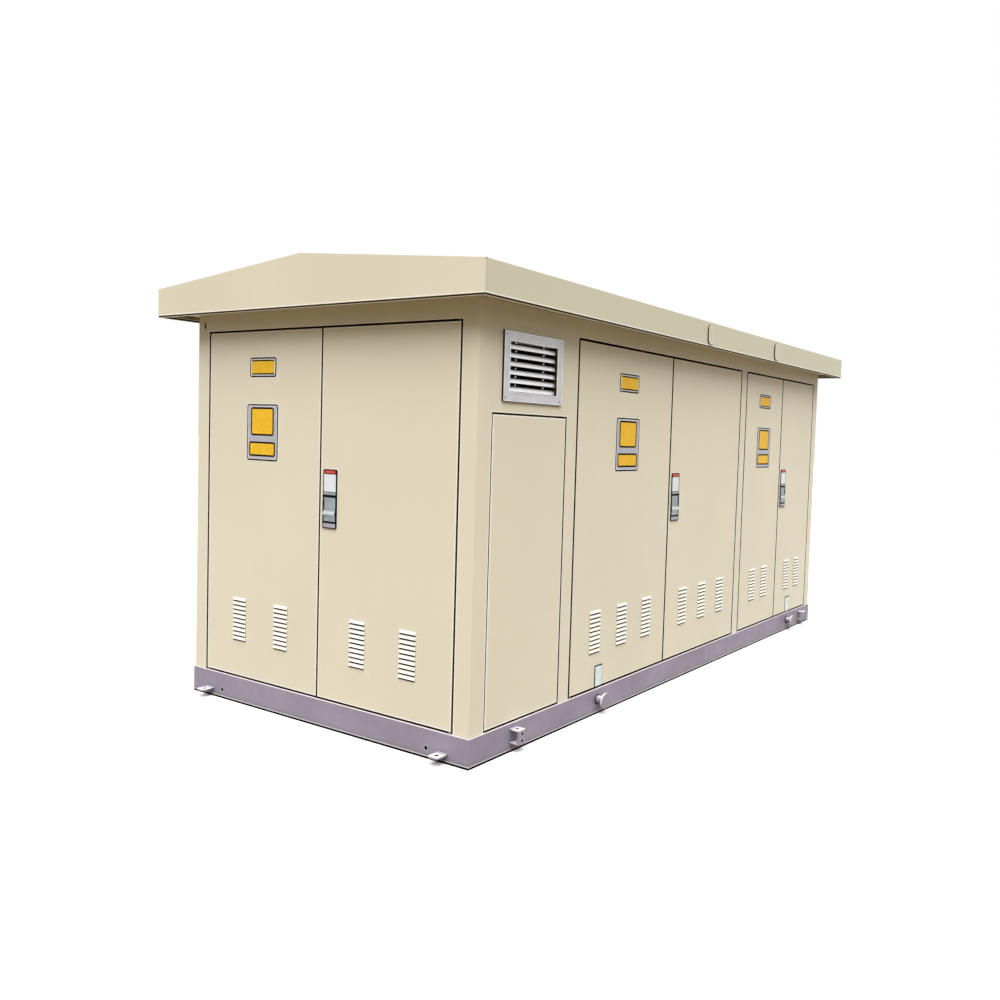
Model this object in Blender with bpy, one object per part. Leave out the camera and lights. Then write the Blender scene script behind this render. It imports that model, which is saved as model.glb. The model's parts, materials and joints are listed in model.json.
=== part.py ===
"""Outdoor compact transformer substation: a sheet-steel kiosk on a channel-section base.

The kiosk has a shallow gabled roof, three pairs of hinged doors with pressed vents in the near
end and one long side, a louvre window over a fixed panel, and the same layout repeated as fixed
leaves on the two sides that face away.

Frame: metres, +Z up, X along the length, -Y the long side with the doors, -X the near end.
The origin is on the ground under the middle of the roof.

A wall is drawn in its own coordinates: u along the wall, d inwards from its outer face, z up.
"""
import math

import bmesh
import bpy
from mathutils import Matrix, Vector

# Overall sizes
BODY_LENGTH = 4.450
BODY_WIDTH = 2.035
BASE_HEIGHT = 0.141
WALL_HEIGHT = 1.984
SEAT_GAP = 0.0003
SHARP_ANGLE = math.radians(35)
HALF_LENGTH = BODY_LENGTH / 2
HALF_WIDTH = BODY_WIDTH / 2
WALL_TOP = BASE_HEIGHT + WALL_HEIGHT

# Base frame of channel section, webs outwards and a little proud of the walls
BASE_LEDGE = 0.006
BASE_HALF_LENGTH = HALF_LENGTH + BASE_LEDGE
BASE_HALF_WIDTH = HALF_WIDTH + BASE_LEDGE
CHANNEL_FLANGE = 0.060
CHANNEL_WEB_THICKNESS = 0.008
CHANNEL_FLANGE_THICKNESS = 0.0095
BEARER_OFFSETS = (-0.950, 0.0, 0.950)
BEARER_WIDTH = 0.050
BEARER_WALL = 0.005
BEARER_DEPTH = 0.100
BEARER_DROP = 0.0005
BASE_HOLE_RADIUS = 0.0075
BASE_HOLE_SETBACK = 0.2525
BASE_HOLE_HEIGHT = 0.050
WELD_SINK = 0.001
BOLT_HOLE_SIDES = 12

# Floor plate
FLOOR_THICKNESS = 0.003
FLOOR_BEARING = 0.004

# Foundation tabs on the end faces
TAB_SETBACK = 0.1495
TAB_WIDTH = 0.062
TAB_LENGTH = 0.070
TAB_THICKNESS = 0.008
TAB_TOP = 0.047
TAB_HOLE_RADIUS = 0.007
TAB_HOLE_REACH = 0.040
TAB_CORNER = 0.010

# Earthing brackets, short pieces of channel on the long sides
BRACKET_SETBACKS = (0.317, 0.238)
BRACKET_WIDTH = 0.056
BRACKET_DEPTH = 0.055
BRACKET_TOP = 0.114
BRACKET_HEIGHT = 0.070
BRACKET_THICKNESS = 0.006
BRACKET_HOLE_RADIUS = 0.006
BRACKET_TOP_HOLE_REACH = 0.026
BRACKET_HOLE_RISE = (0.019, 0.052)

# Lifting trunnions
TRUNNION_SETBACKS = (1.067, 0.520)
TRUNNION_HEIGHT = 0.080
TRUNNION_RADIUS = 0.0225
TRUNNION_REACH = 0.056
TRUNNION_DISC_RADIUS = 0.043
TRUNNION_DISC_THICKNESS = 0.008
TRUNNION_DISC_BEVEL = 0.002
TRUNNION_COLLAR_RADIUS = 0.036
TRUNNION_COLLAR_THICKNESS = 0.010
TRUNNION_BORE_CLEARANCE = 0.0003
TRUNNION_SIDES = 14

# Wall framing, folded from sheet
SHEET = 0.002
POST_WIDTH = 0.100
MULLION_WIDTH = 0.094
SEAM = 0.006
STOP_DEPTH = 0.046
STOP_WIDTH = 0.020
HEADER_HEIGHT = 0.099
HEADER_LIP = 0.015
HEADER_BOTTOM = WALL_TOP - HEADER_HEIGHT

# Bays along the long sides, between seam centres
WINDOW_BAY = 0.586
MAIN_LEAF_PITCH = 1.0305

# Leaves and fixed panels
LEAF_LIFT = 0.008
LEAF_DEPTH = 0.038
LEAF_LIP = 0.018
LEAF_CHAMFER = 0.004
WINDOW_WALL_HEIGHT = 0.416
LEAF_BOTTOM = BASE_HEIGHT + LEAF_LIFT
PANEL_TOP = HEADER_BOTTOM - WINDOW_WALL_HEIGHT

# Hinge pins
HINGE_INSET = 0.013
HINGE_DEPTH = 0.009
PIN_RADIUS = 0.004
PIN_CLEARANCE = 0.0003
PIN_TOP_REACH = 0.013
PIN_SOCKET_DEPTH = 0.007
PIN_SOCKET_PLAY = 0.001
PIN_COLLAR_RADIUS = 0.0075
PIN_SIDES = 8

# Pressed vents
VENT_ROWS = 10
VENT_PITCH = 0.0239
VENT_RISE = 0.2015
VENT_WIDTH = 0.105
VENT_HEIGHT = 0.014
VENT_MOUTH = 0.0075
VENT_PROUD = 0.007
VENT_SHEET = 0.0015
END_VENT_OFFSETS = (-0.170, 0.170)
MAIN_VENT_OFFSETS = (-0.280, 0.0, 0.280)
SIDE_VENT_OFFSETS = (-0.113, 0.113)

# Louvre window
LOUVRE_WIDTH = 0.462
LOUVRE_HEIGHT = 0.321
LOUVRE_LIFT = 0.015
LOUVRE_BORDER = 0.0425
LOUVRE_SLEEVE = 0.003
LOUVRE_SLEEVE_DEPTH = 0.042
LOUVRE_PROUD = 0.012
LOUVRE_FACE = 0.009
LOUVRE_EDGE = 0.003
LOUVRE_EDGE_SLOPE = 0.001
LOUVRE_CLEARANCE = 0.0003
SLAT_COUNT = 6
SLAT_SHEET = 0.0015
SLAT_FRONT = 0.004
SLAT_DEPTH = 0.029
SLAT_RISE = 0.017
SLAT_LIP = 0.008
SLAT_SWEEP = math.radians(78)
SLAT_ARC_STEPS = 4
SLAT_FIRST_LIFT = 0.004
ROD_OFFSET = 0.110
ROD_RADIUS = 0.003
ROD_DEPTH = 0.020
ROD_SIDES = 8
LOUVRE_CENTRE_HEIGHT = (PANEL_TOP + HEADER_BOTTOM) / 2 + LOUVRE_LIFT

# Lock handles
HANDLE_WIDTH = 0.100
HANDLE_HEIGHT = 0.178
HANDLE_RISE = 0.869
HANDLE_EDGE_GAP = 0.025
HANDLE_PROUD = 0.009
HANDLE_CHAMFER = 0.003
HANDLE_RIM = 0.010
HANDLE_FLOOR = 0.003
HANDLE_SILL = 0.029
HANDLE_SILL_DROP = 0.0005
LEVER_MARGIN = 0.015
LEVER_TOP_GAP = 0.019
LEVER_BOTTOM_GAP = 0.040
LEVER_FACE = 0.008
LEVER_WAIST_RISE = 0.058
LEVER_LIP_RISE = 0.041
LEVER_LIP_DEPTH = 0.011
LEVER_HEEL_RISE = 0.012
LEVER_PROUD = 0.018
HANDLE_BOTTOM = LEAF_BOTTOM + HANDLE_RISE

# Roof
ROOF_OVERHANG = 0.150
EAVES_DROP = 0.018
FASCIA_HEIGHT = 0.1445
RIDGE_RISE = 0.253
ROOF_SHEET = 0.0025
ROOF_RETURN = 0.030
RIB_OFFSETS = (-1.10, 0.0, 1.10)
RIB_THICKNESS = 0.004
TRAY_EDGE = 0.040
ROOF_TAB_OFFSETS = (-0.222, 0.868)
ROOF_TAB_WIDTH = 0.066
ROOF_TAB_HEIGHT = 0.115
ROOF_TAB_PROUD = 0.003
ROOF_TAB_CORNER = 0.028
ROOF_TAB_LIFT = 0.012
ROOF_TAB_ARC_STEPS = 4
EAVES_BOTTOM = WALL_TOP - EAVES_DROP

# Each side: direction of u, corner where u is zero, direction of d
SIDES = {
    "front": ((1, 0), (-HALF_LENGTH, -HALF_WIDTH), (0, 1)),
    "back": ((1, 0), (-HALF_LENGTH, HALF_WIDTH), (0, -1)),
    "near_end": ((0, 1), (-HALF_LENGTH, -HALF_WIDTH), (1, 0)),
    "far_end": ((0, 1), (HALF_LENGTH, -HALF_WIDTH), (-1, 0)),
}


def clear_scene():
    for item in list(bpy.data.objects):
        bpy.data.objects.remove(item, do_unlink=True)


def plain_material(name, colour, roughness, metallic):
    material = bpy.data.materials.new(name)
    material.use_nodes = True
    shader = material.node_tree.nodes["Principled BSDF"]
    shader.inputs["Base Color"].default_value = (*colour, 1.0)
    shader.inputs["Roughness"].default_value = roughness
    shader.inputs["Metallic"].default_value = metallic
    material.diffuse_color = (*colour, 1.0)
    return material


def wall_matrix(side):
    along, corner, inward = SIDES[side]
    return Matrix((
        (along[0], inward[0], 0, corner[0]),
        (along[1], inward[1], 0, corner[1]),
        (0, 0, 1, 0),
        (0, 0, 0, 1),
    ))


def placed_from_ends(setbacks):
    """X of a piece near each end, from its distances to the near and to the far end."""
    return setbacks[0] - HALF_LENGTH, HALF_LENGTH - setbacks[1]


def wall_length(side):
    return BODY_LENGTH if side in ("front", "back") else BODY_WIDTH


def finish_object(name, bm, material, side=None, pivot=None):
    """Turn a mesh under construction into an object, with its origin on the pivot."""
    if side is not None:
        bm.transform(wall_matrix(side))
    bmesh.ops.recalc_face_normals(bm, faces=bm.faces)
    origin = Vector(pivot) if pivot is not None else Vector((0, 0, 0))
    bm.transform(Matrix.Translation(-origin))
    mesh = bpy.data.meshes.new(name)
    bm.to_mesh(mesh)
    bm.free()
    mesh.materials.append(material)
    item = bpy.data.objects.new(name, mesh)
    item.location = origin
    bpy.context.scene.collection.objects.link(item)
    return item


def combine(target, tool, operation):
    """Join or cut the target with a guide object that stays out of the model."""
    tool.hide_render = True
    tool.display_type = "WIRE"
    modifier = target.modifiers.new(tool.name, "BOOLEAN")
    modifier.operation = operation
    modifier.object = tool


def shade_round(item):
    item.data.shade_smooth()
    item.data.set_sharp_from_angle(angle=SHARP_ANGLE)


def add_prism(bm, outline, place, start, end):
    """Extrude a closed outline; place(a, b, s) turns outline and extrusion values into a point."""
    low = [bm.verts.new(place(a, b, start)) for a, b in outline]
    high = [bm.verts.new(place(a, b, end)) for a, b in outline]
    count = len(outline)
    bm.faces.new(low)
    bm.faces.new(high)
    for i in range(count):
        j = (i + 1) % count
        bm.faces.new((low[i], low[j], high[j], high[i]))


def plan(a, b, s):
    return (a, b, s)


def section(a, b, s):
    return (s, a, b)


def add_box(bm, low, high):
    outline = [(low[0], low[1]), (high[0], low[1]), (high[0], high[1]), (low[0], high[1])]
    add_prism(bm, outline, plan, low[2], high[2])


def circle(radius, sides, centre=(0, 0)):
    """Points evenly spaced on a circle, the first of them along the first axis."""
    turn = 2 * math.pi / sides
    return [
        (centre[0] + radius * math.cos(turn * i), centre[1] + radius * math.sin(turn * i))
        for i in range(sides)
    ]


def folded_outline(path, thickness):
    """Closed outline of a sheet folded along path, with its thickness to the left."""
    points = [Vector(point) for point in path]
    headings = [(points[i + 1] - points[i]).normalized() for i in range(len(points) - 1)]
    normals = [Vector((-heading.y, heading.x)) for heading in headings]
    offset = [points[0] + normals[0] * thickness]
    for i in range(1, len(points) - 1):
        bisector = normals[i - 1] + normals[i]
        offset.append(points[i] + bisector * (thickness / (1 + normals[i - 1].dot(normals[i]))))
    offset.append(points[-1] + normals[-1] * thickness)
    return [tuple(point) for point in points] + [tuple(point) for point in reversed(offset)]


def rectangle_ring(bm, low, high, inset, depth):
    """Four corners of a rectangle in a wall, inset on every side, at one depth."""
    return [
        bm.verts.new((low[0] + inset, depth, low[1] + inset)),
        bm.verts.new((high[0] - inset, depth, low[1] + inset)),
        bm.verts.new((high[0] - inset, depth, high[1] - inset)),
        bm.verts.new((low[0] + inset, depth, high[1] - inset)),
    ]


def join_rings(bm, first, second):
    count = len(first)
    for i in range(count):
        j = (i + 1) % count
        bm.faces.new((first[i], first[j], second[j], second[i]))


def pierced_skin(bm, corners, columns):
    """Fill a rectangle around columns of openings.

    A column is a list of openings, lowest first, and an opening is its lower and its upper
    chain of points, each from left to right.
    """
    low_left, low_right, high_right, high_left = corners
    if not columns:
        bm.faces.new(corners)
        return
    left_sides = [[chain[0] for opening in column for chain in opening] for column in columns]
    right_sides = [[chain[-1] for opening in column for chain in opening] for column in columns]
    bm.faces.new([low_left] + left_sides[0] + [high_left])
    bm.faces.new([low_right] + right_sides[-1] + [high_right])
    for right_side, left_side in zip(right_sides, left_sides[1:]):
        bm.faces.new(right_side + left_side[::-1])
    lowest = [vertex for column in columns for vertex in column[0][0]]
    highest = [vertex for column in columns for vertex in column[-1][1]]
    bm.faces.new([low_left, low_right] + lowest[::-1])
    bm.faces.new(highest + [high_right, high_left])
    for column in columns:
        for below, above in zip(column, column[1:]):
            bm.faces.new(below[1] + above[0][::-1])


def pressed_vent(bm, left, right, bottom):
    """A hood pressed outwards from the sheet, over a slot that opens below its lip.

    Returns the chains of its opening in the outer and in the inner skin.
    """
    top = bottom + VENT_HEIGHT
    foot = bottom - VENT_MOUTH
    inner_left = left + VENT_SHEET
    inner_right = right - VENT_SHEET
    lip = VENT_SHEET - VENT_PROUD

    def point(u, d, z):
        return bm.verts.new((u, d, z))

    sill = [point(left, 0, foot), point(right, 0, foot)]
    crown = [point(left, 0, top), point(right, 0, top)]
    hood = [point(left, -VENT_PROUD, bottom), point(right, -VENT_PROUD, bottom)]
    throat = [point(inner_left, lip, bottom), point(inner_right, lip, bottom)]
    back_sill = [point(inner_left, SHEET, foot), point(inner_right, SHEET, foot)]
    back_crown = [point(inner_left, SHEET, top), point(inner_right, SHEET, top)]
    bm.faces.new((hood[0], hood[1], crown[1], crown[0]))
    bm.faces.new((sill[0], hood[0], crown[0]))
    bm.faces.new((sill[1], hood[1], crown[1]))
    bm.faces.new((hood[0], hood[1], throat[1], throat[0]))
    bm.faces.new((throat[0], throat[1], back_crown[1], back_crown[0]))
    bm.faces.new((sill[0], sill[1], back_sill[1], back_sill[0]))
    for end in (0, 1):
        bm.faces.new((sill[end], hood[end], throat[end]))
        bm.faces.new((sill[end], throat[end], back_crown[end]))
        bm.faces.new((sill[end], back_crown[end], back_sill[end]))
    return (sill, crown), (back_sill, back_crown)


def add_pan(bm, low, high, depth, vent_offsets=()):
    """A sheet pan with chamfered front edges, deep returns and a lip round its open back."""
    inner_fold = LEAF_CHAMFER + SHEET * (math.sqrt(2) - 1)
    profile = (
        (LEAF_CHAMFER, 0),
        (0, LEAF_CHAMFER),
        (0, depth),
        (LEAF_LIP, depth),
        (LEAF_LIP, depth - SHEET),
        (SHEET, depth - SHEET),
        (SHEET, inner_fold),
        (inner_fold, SHEET),
    )
    rings = [rectangle_ring(bm, low, high, inset, d) for inset, d in profile]
    for first, second in zip(rings, rings[1:]):
        join_rings(bm, first, second)
    centre = (low[0] + high[0]) / 2
    outer_columns = []
    inner_columns = []
    for offset in vent_offsets:
        left = centre + offset - VENT_WIDTH / 2
        vents = [
            pressed_vent(bm, left, left + VENT_WIDTH, low[1] + VENT_RISE + row * VENT_PITCH)
            for row in range(VENT_ROWS)
        ]
        outer_columns.append([vent[0] for vent in vents])
        inner_columns.append([vent[1] for vent in vents])
    pierced_skin(bm, rings[0], outer_columns)
    pierced_skin(bm, rings[-1], inner_columns)


def hinge_point(start, end, hinge_at):
    return start + HINGE_INSET if hinge_at == "start" else end - HINGE_INSET


def pin_hole_radius():
    """Corner radius of a pin hole whose flats clear the turning pin."""
    return (PIN_RADIUS + PIN_CLEARANCE) / math.cos(math.pi / PIN_SIDES)


def add_upright_cylinder(bm, u, d, radius, low, high, sides=PIN_SIDES):
    add_prism(bm, circle(radius, sides, (u, d)), plan, low, high)


def door_leaf(name, side, start, end, hinge_at, vent_offsets, material):
    """One leaf with its two hinge pins; its origin is on the hinge axis."""
    top = HEADER_BOTTOM - SEAM
    u = hinge_point(start, end, hinge_at)
    bm = bmesh.new()
    add_pan(bm, (start, LEAF_BOTTOM), (end, top), LEAF_DEPTH, vent_offsets)
    pivot = wall_matrix(side) @ Vector((u, HINGE_DEPTH, LEAF_BOTTOM))
    leaf = finish_object(name, bm, material, side, pivot)
    pins = bmesh.new()
    collar_bottom = BASE_HEIGHT + SEAT_GAP
    pin_bottom = BASE_HEIGHT - PIN_SOCKET_DEPTH + PIN_SOCKET_PLAY
    add_upright_cylinder(pins, u, HINGE_DEPTH, PIN_RADIUS, top - WELD_SINK, top + PIN_TOP_REACH)
    outline = [(0, pin_bottom), (PIN_RADIUS, pin_bottom), (PIN_RADIUS, collar_bottom),
               (PIN_COLLAR_RADIUS, collar_bottom), (PIN_COLLAR_RADIUS, LEAF_BOTTOM + WELD_SINK),
               (0, LEAF_BOTTOM + WELD_SINK)]
    add_turned(pins, outline, lambda r, c, s, h: (u + r * c, HINGE_DEPTH + r * s, h), PIN_SIDES)
    combine(leaf, finish_object(name + "_pins", pins, material, side), "UNION")
    return leaf


def add_turned(bm, outline, place, sides):
    """Turn an outline of (radius, height) points whose first and last points are on the axis."""
    turn = 2 * math.pi / sides
    rings = []
    for radius, height in outline[1:-1]:
        rings.append([
            bm.verts.new(place(radius, math.cos(turn * i), math.sin(turn * i), height))
            for i in range(sides)
        ])
    bm.faces.new(rings[0])
    bm.faces.new(rings[-1])
    for first, second in zip(rings, rings[1:]):
        join_rings(bm, first, second)


def lock_handle(name, side, left, material):
    """A flush lock: a rimmed plate with a sunk floor, a deep sill, and a lever with a flared lip."""
    low = (left, HANDLE_BOTTOM)
    high = (left + HANDLE_WIDTH, HANDLE_BOTTOM + HANDLE_HEIGHT)
    bm = bmesh.new()
    profile = (
        (0, -SEAT_GAP),
        (0, HANDLE_CHAMFER - HANDLE_PROUD),
        (HANDLE_CHAMFER, -HANDLE_PROUD),
        (HANDLE_RIM, -HANDLE_PROUD),
        (HANDLE_RIM + HANDLE_CHAMFER, -HANDLE_FLOOR),
    )
    rings = [rectangle_ring(bm, low, high, inset, d) for inset, d in profile]
    bm.faces.new(rings[0])
    bm.faces.new(rings[-1])
    for first, second in zip(rings, rings[1:]):
        join_rings(bm, first, second)
    handle = finish_object(name, bm, material, side)
    root = WELD_SINK - HANDLE_FLOOR
    bottom = low[1] + LEVER_BOTTOM_GAP
    top = high[1] - LEVER_TOP_GAP
    shape = [
        (root, bottom),
        (root, top),
        (-LEVER_FACE, top),
        (-LEVER_FACE, bottom + LEVER_WAIST_RISE),
        (-LEVER_PROUD, bottom + LEVER_LIP_RISE),
        (-LEVER_PROUD, bottom + LEVER_LIP_RISE - LEVER_LIP_DEPTH),
        (-LEVER_FACE, bottom + LEVER_HEEL_RISE),
        (-LEVER_FACE, bottom),
    ]
    lever = bmesh.new()
    add_prism(lever, shape, section, low[0] + LEVER_MARGIN, high[0] - LEVER_MARGIN)
    combine(handle, finish_object(name + "_lever", lever, material, side), "UNION")
    sill = bmesh.new()
    add_box(sill, (low[0] + HANDLE_RIM - WELD_SINK, HANDLE_SILL_DROP - HANDLE_PROUD,
                   low[1] + HANDLE_RIM - WELD_SINK),
            (high[0] - HANDLE_RIM + WELD_SINK, root, low[1] + HANDLE_SILL))
    combine(handle, finish_object(name + "_sill", sill, material, side), "UNION")
    return handle


def bay_layout(side):
    """Leaves of a side as (name, start, end, hinge end, vent offsets), and its mullions."""
    half_seam = SEAM / 2
    if side in ("near_end", "far_end"):
        first = POST_WIDTH + half_seam
        last = BODY_WIDTH - first
        middle = (first + last) / 2
        seams = (first, middle, last)
        names = ("right", "left")
        leaves = [
            (names[0], seams[0], seams[1], "start", END_VENT_OFFSETS),
            (names[1], seams[1], seams[2], "end", END_VENT_OFFSETS),
        ]
        mullions = []
    else:
        window = POST_WIDTH + half_seam + WINDOW_BAY
        main = window + MULLION_WIDTH + SEAM
        main_middle = main + MAIN_LEAF_PITCH
        main_end = main_middle + MAIN_LEAF_PITCH
        aside = main_end + MULLION_WIDTH + SEAM
        aside_end = BODY_LENGTH - POST_WIDTH - half_seam
        aside_middle = (aside + aside_end) / 2
        leaves = [
            ("main_left", main, main_middle, "start", MAIN_VENT_OFFSETS),
            ("main_right", main_middle, main_end, "end", MAIN_VENT_OFFSETS),
            ("side_left", aside, aside_middle, "start", SIDE_VENT_OFFSETS),
            ("side_right", aside_middle, aside_end, "end", SIDE_VENT_OFFSETS),
        ]
        mullions = [window + half_seam, main_end + half_seam]
    cut = [
        (name, start + half_seam, end - half_seam, hinge, vents)
        for name, start, end, hinge, vents in leaves
    ]
    return cut, mullions


def corner_post(name, x_sign, y_sign, material):
    """A folded corner post with a door stop along both of its free edges."""
    reach = POST_WIDTH + STOP_WIDTH
    path = [
        (STOP_DEPTH, reach), (STOP_DEPTH, POST_WIDTH), (0, POST_WIDTH), (0, 0),
        (POST_WIDTH, 0), (POST_WIDTH, STOP_DEPTH), (reach, STOP_DEPTH),
    ]
    bm = bmesh.new()
    add_prism(bm, folded_outline(path, SHEET), plan, BASE_HEIGHT + SEAT_GAP, WALL_TOP)
    place = Matrix.Diagonal((-x_sign, -y_sign, 1, 1))
    place.translation = Vector((x_sign * HALF_LENGTH, y_sign * HALF_WIDTH, 0))
    bm.transform(place)
    return finish_object(name, bm, material)


def mullion(name, side, start, material):
    """A folded mullion between two bays, with a stop on both edges."""
    end = start + MULLION_WIDTH
    path = [
        (start - STOP_WIDTH, STOP_DEPTH), (start, STOP_DEPTH), (start, 0),
        (end, 0), (end, STOP_DEPTH), (end + STOP_WIDTH, STOP_DEPTH),
    ]
    bm = bmesh.new()
    top = HEADER_BOTTOM - SEAT_GAP
    add_prism(bm, folded_outline(path, SHEET), plan, BASE_HEIGHT + SEAT_GAP, top)
    return finish_object(name, bm, material, side)


def folded_rail(bm, start, end, bottom, top):
    """A rail open towards the inside, with a lip on its lower and upper flange."""
    depth = STOP_DEPTH - SEAT_GAP
    path = [
        (depth, bottom + HEADER_LIP), (depth, bottom), (0, bottom),
        (0, top), (depth, top), (depth, top - HEADER_LIP),
    ]
    add_prism(bm, folded_outline(path, -SHEET), section, start, end)


def header(side, material):
    """The rail over the bays of one side, drilled for the upper hinge pins."""
    bm = bmesh.new()
    start = POST_WIDTH + SEAT_GAP
    folded_rail(bm, start, wall_length(side) - start, HEADER_BOTTOM, WALL_TOP)
    rail = finish_object("header_" + side, bm, material, side)
    holes = bmesh.new()
    for _, leaf_start, leaf_end, hinge_at, _ in bay_layout(side)[0]:
        u = hinge_point(leaf_start, leaf_end, hinge_at)
        add_upright_cylinder(holes, u, HINGE_DEPTH, pin_hole_radius(),
                             HEADER_BOTTOM - SEAM / 2, HEADER_BOTTOM + SHEET + SEAM / 2)
    combine(rail, finish_object("header_holes_" + side, holes, material, side), "DIFFERENCE")
    return rail


def window_centre():
    return POST_WIDTH + SEAM / 2 + WINDOW_BAY / 2


def window_wall(side, material):
    """The sheet over the fixed panel, cut through for the louvre window."""
    start = POST_WIDTH + SEAT_GAP
    end = POST_WIDTH + SEAM + WINDOW_BAY - SEAT_GAP
    bottom = PANEL_TOP + SEAM
    bm = bmesh.new()
    folded_rail(bm, start, end, bottom, HEADER_BOTTOM - SEAT_GAP)
    wall = finish_object("window_wall_" + side, bm, material, side)
    hole = bmesh.new()
    inset = LOUVRE_BORDER - LOUVRE_SLEEVE - LOUVRE_CLEARANCE
    half_width = LOUVRE_WIDTH / 2 - inset
    half_height = LOUVRE_HEIGHT / 2 - inset
    middle = window_centre()
    add_box(hole, (middle - half_width, -SHEET, LOUVRE_CENTRE_HEIGHT - half_height),
            (middle + half_width, 2 * SHEET, LOUVRE_CENTRE_HEIGHT + half_height))
    combine(wall, finish_object("window_hole_" + side, hole, material, side), "DIFFERENCE")
    return wall


def side_panel(side, material):
    """The fixed panel under the louvre window, screwed back against the stops."""
    start = POST_WIDTH + SEAM
    bm = bmesh.new()
    add_pan(bm, (start, LEAF_BOTTOM), (start + WINDOW_BAY - SEAM, PANEL_TOP),
            STOP_DEPTH - SEAT_GAP)
    return finish_object("side_panel_" + side, bm, material, side)


def slat_path(foot):
    """Section of a slat: an upright lip, then a curve back that flattens as it rises."""
    path = [(SLAT_FRONT, foot)]
    for i in range(SLAT_ARC_STEPS + 1):
        angle = SLAT_SWEEP * i / SLAT_ARC_STEPS
        back = (1 - math.cos(angle)) / (1 - math.cos(SLAT_SWEEP))
        rise = math.sin(angle) / math.sin(SLAT_SWEEP)
        path.append((SLAT_FRONT + SLAT_DEPTH * back, foot + SLAT_LIP + SLAT_RISE * rise))
    return path


def louvre_window(side, material):
    """A louvre window: lipped frame, sleeve through the wall, curved slats and tie rods."""
    middle = window_centre()
    low = (middle - LOUVRE_WIDTH / 2, LOUVRE_CENTRE_HEIGHT - LOUVRE_HEIGHT / 2)
    high = (middle + LOUVRE_WIDTH / 2, LOUVRE_CENTRE_HEIGHT + LOUVRE_HEIGHT / 2)
    sleeve = LOUVRE_BORDER - LOUVRE_SLEEVE
    profile = (
        (0, -SEAT_GAP),
        (0, -LOUVRE_PROUD),
        (LOUVRE_EDGE, -LOUVRE_PROUD),
        (LOUVRE_EDGE + LOUVRE_EDGE_SLOPE, -LOUVRE_FACE),
        (sleeve - LOUVRE_EDGE_SLOPE, -LOUVRE_FACE),
        (sleeve, -LOUVRE_PROUD),
        (LOUVRE_BORDER, -LOUVRE_PROUD),
        (LOUVRE_BORDER, LOUVRE_SLEEVE_DEPTH),
        (sleeve, LOUVRE_SLEEVE_DEPTH),
        (sleeve, -SEAT_GAP),
    )
    bm = bmesh.new()
    rings = [rectangle_ring(bm, low, high, inset, d) for inset, d in profile]
    for i, ring in enumerate(rings):
        join_rings(bm, ring, rings[(i + 1) % len(rings)])
    window = finish_object("louvre_window_" + side, bm, material, side)
    slats = bmesh.new()
    open_bottom = low[1] + LOUVRE_BORDER
    pitch = (LOUVRE_HEIGHT - 2 * LOUVRE_BORDER) / SLAT_COUNT
    for i in range(SLAT_COUNT):
        path = slat_path(open_bottom + SLAT_FIRST_LIFT + i * pitch)
        add_prism(slats, folded_outline(path, -SLAT_SHEET), section,
                  low[0] + LOUVRE_BORDER - WELD_SINK, high[0] - LOUVRE_BORDER + WELD_SINK)
    combine(window, finish_object("slats_" + side, slats, material, side), "UNION")
    rods = bmesh.new()
    for offset in (-ROD_OFFSET, ROD_OFFSET):
        add_upright_cylinder(rods, middle + offset, ROD_DEPTH, ROD_RADIUS,
                             low[1] + LOUVRE_BORDER - WELD_SINK,
                             high[1] - LOUVRE_BORDER + WELD_SINK, ROD_SIDES)
    combine(window, finish_object("rods_" + side, rods, material, side), "UNION")
    return window


def add_channel_ring(bm):
    """Four channels mitred into a ring, open towards the inside."""
    web = CHANNEL_WEB_THICKNESS
    flange = CHANNEL_FLANGE
    low = CHANNEL_FLANGE_THICKNESS
    high = BASE_HEIGHT - CHANNEL_FLANGE_THICKNESS
    profile = ((0, 0), (flange, 0), (flange, low), (web, low),
               (web, high), (flange, high), (flange, BASE_HEIGHT), (0, BASE_HEIGHT))
    rings = []
    for inset, z in profile:
        x = BASE_HALF_LENGTH - inset
        y = BASE_HALF_WIDTH - inset
        rings.append([bm.verts.new(point) for point in
                      ((-x, -y, z), (x, -y, z), (x, y, z), (-x, y, z))])
    for i, ring in enumerate(rings):
        join_rings(bm, ring, rings[(i + 1) % len(rings)])


def add_tabs(bm, holes):
    """Foundation tabs on both ends, and the bores through them."""
    for x_sign in (-1, 1):
        for y_sign in (-1, 1):
            centre = y_sign * (HALF_WIDTH - TAB_SETBACK)
            face = x_sign * (BASE_HALF_LENGTH - WELD_SINK)
            tip = x_sign * (BASE_HALF_LENGTH + TAB_LENGTH)
            half = TAB_WIDTH / 2
            corner = x_sign * TAB_CORNER
            outline = [(face, centre - half), (tip - corner, centre - half),
                       (tip, centre - half + TAB_CORNER), (tip, centre + half - TAB_CORNER),
                       (tip - corner, centre + half), (face, centre + half)]
            add_prism(bm, outline, plan, TAB_TOP - TAB_THICKNESS, TAB_TOP)
            bore = x_sign * (BASE_HALF_LENGTH + TAB_HOLE_REACH)
            add_prism(holes, circle(TAB_HOLE_RADIUS, BOLT_HOLE_SIDES, (bore, centre)), plan,
                      TAB_TOP - 2 * TAB_THICKNESS, TAB_TOP + TAB_THICKNESS)


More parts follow.
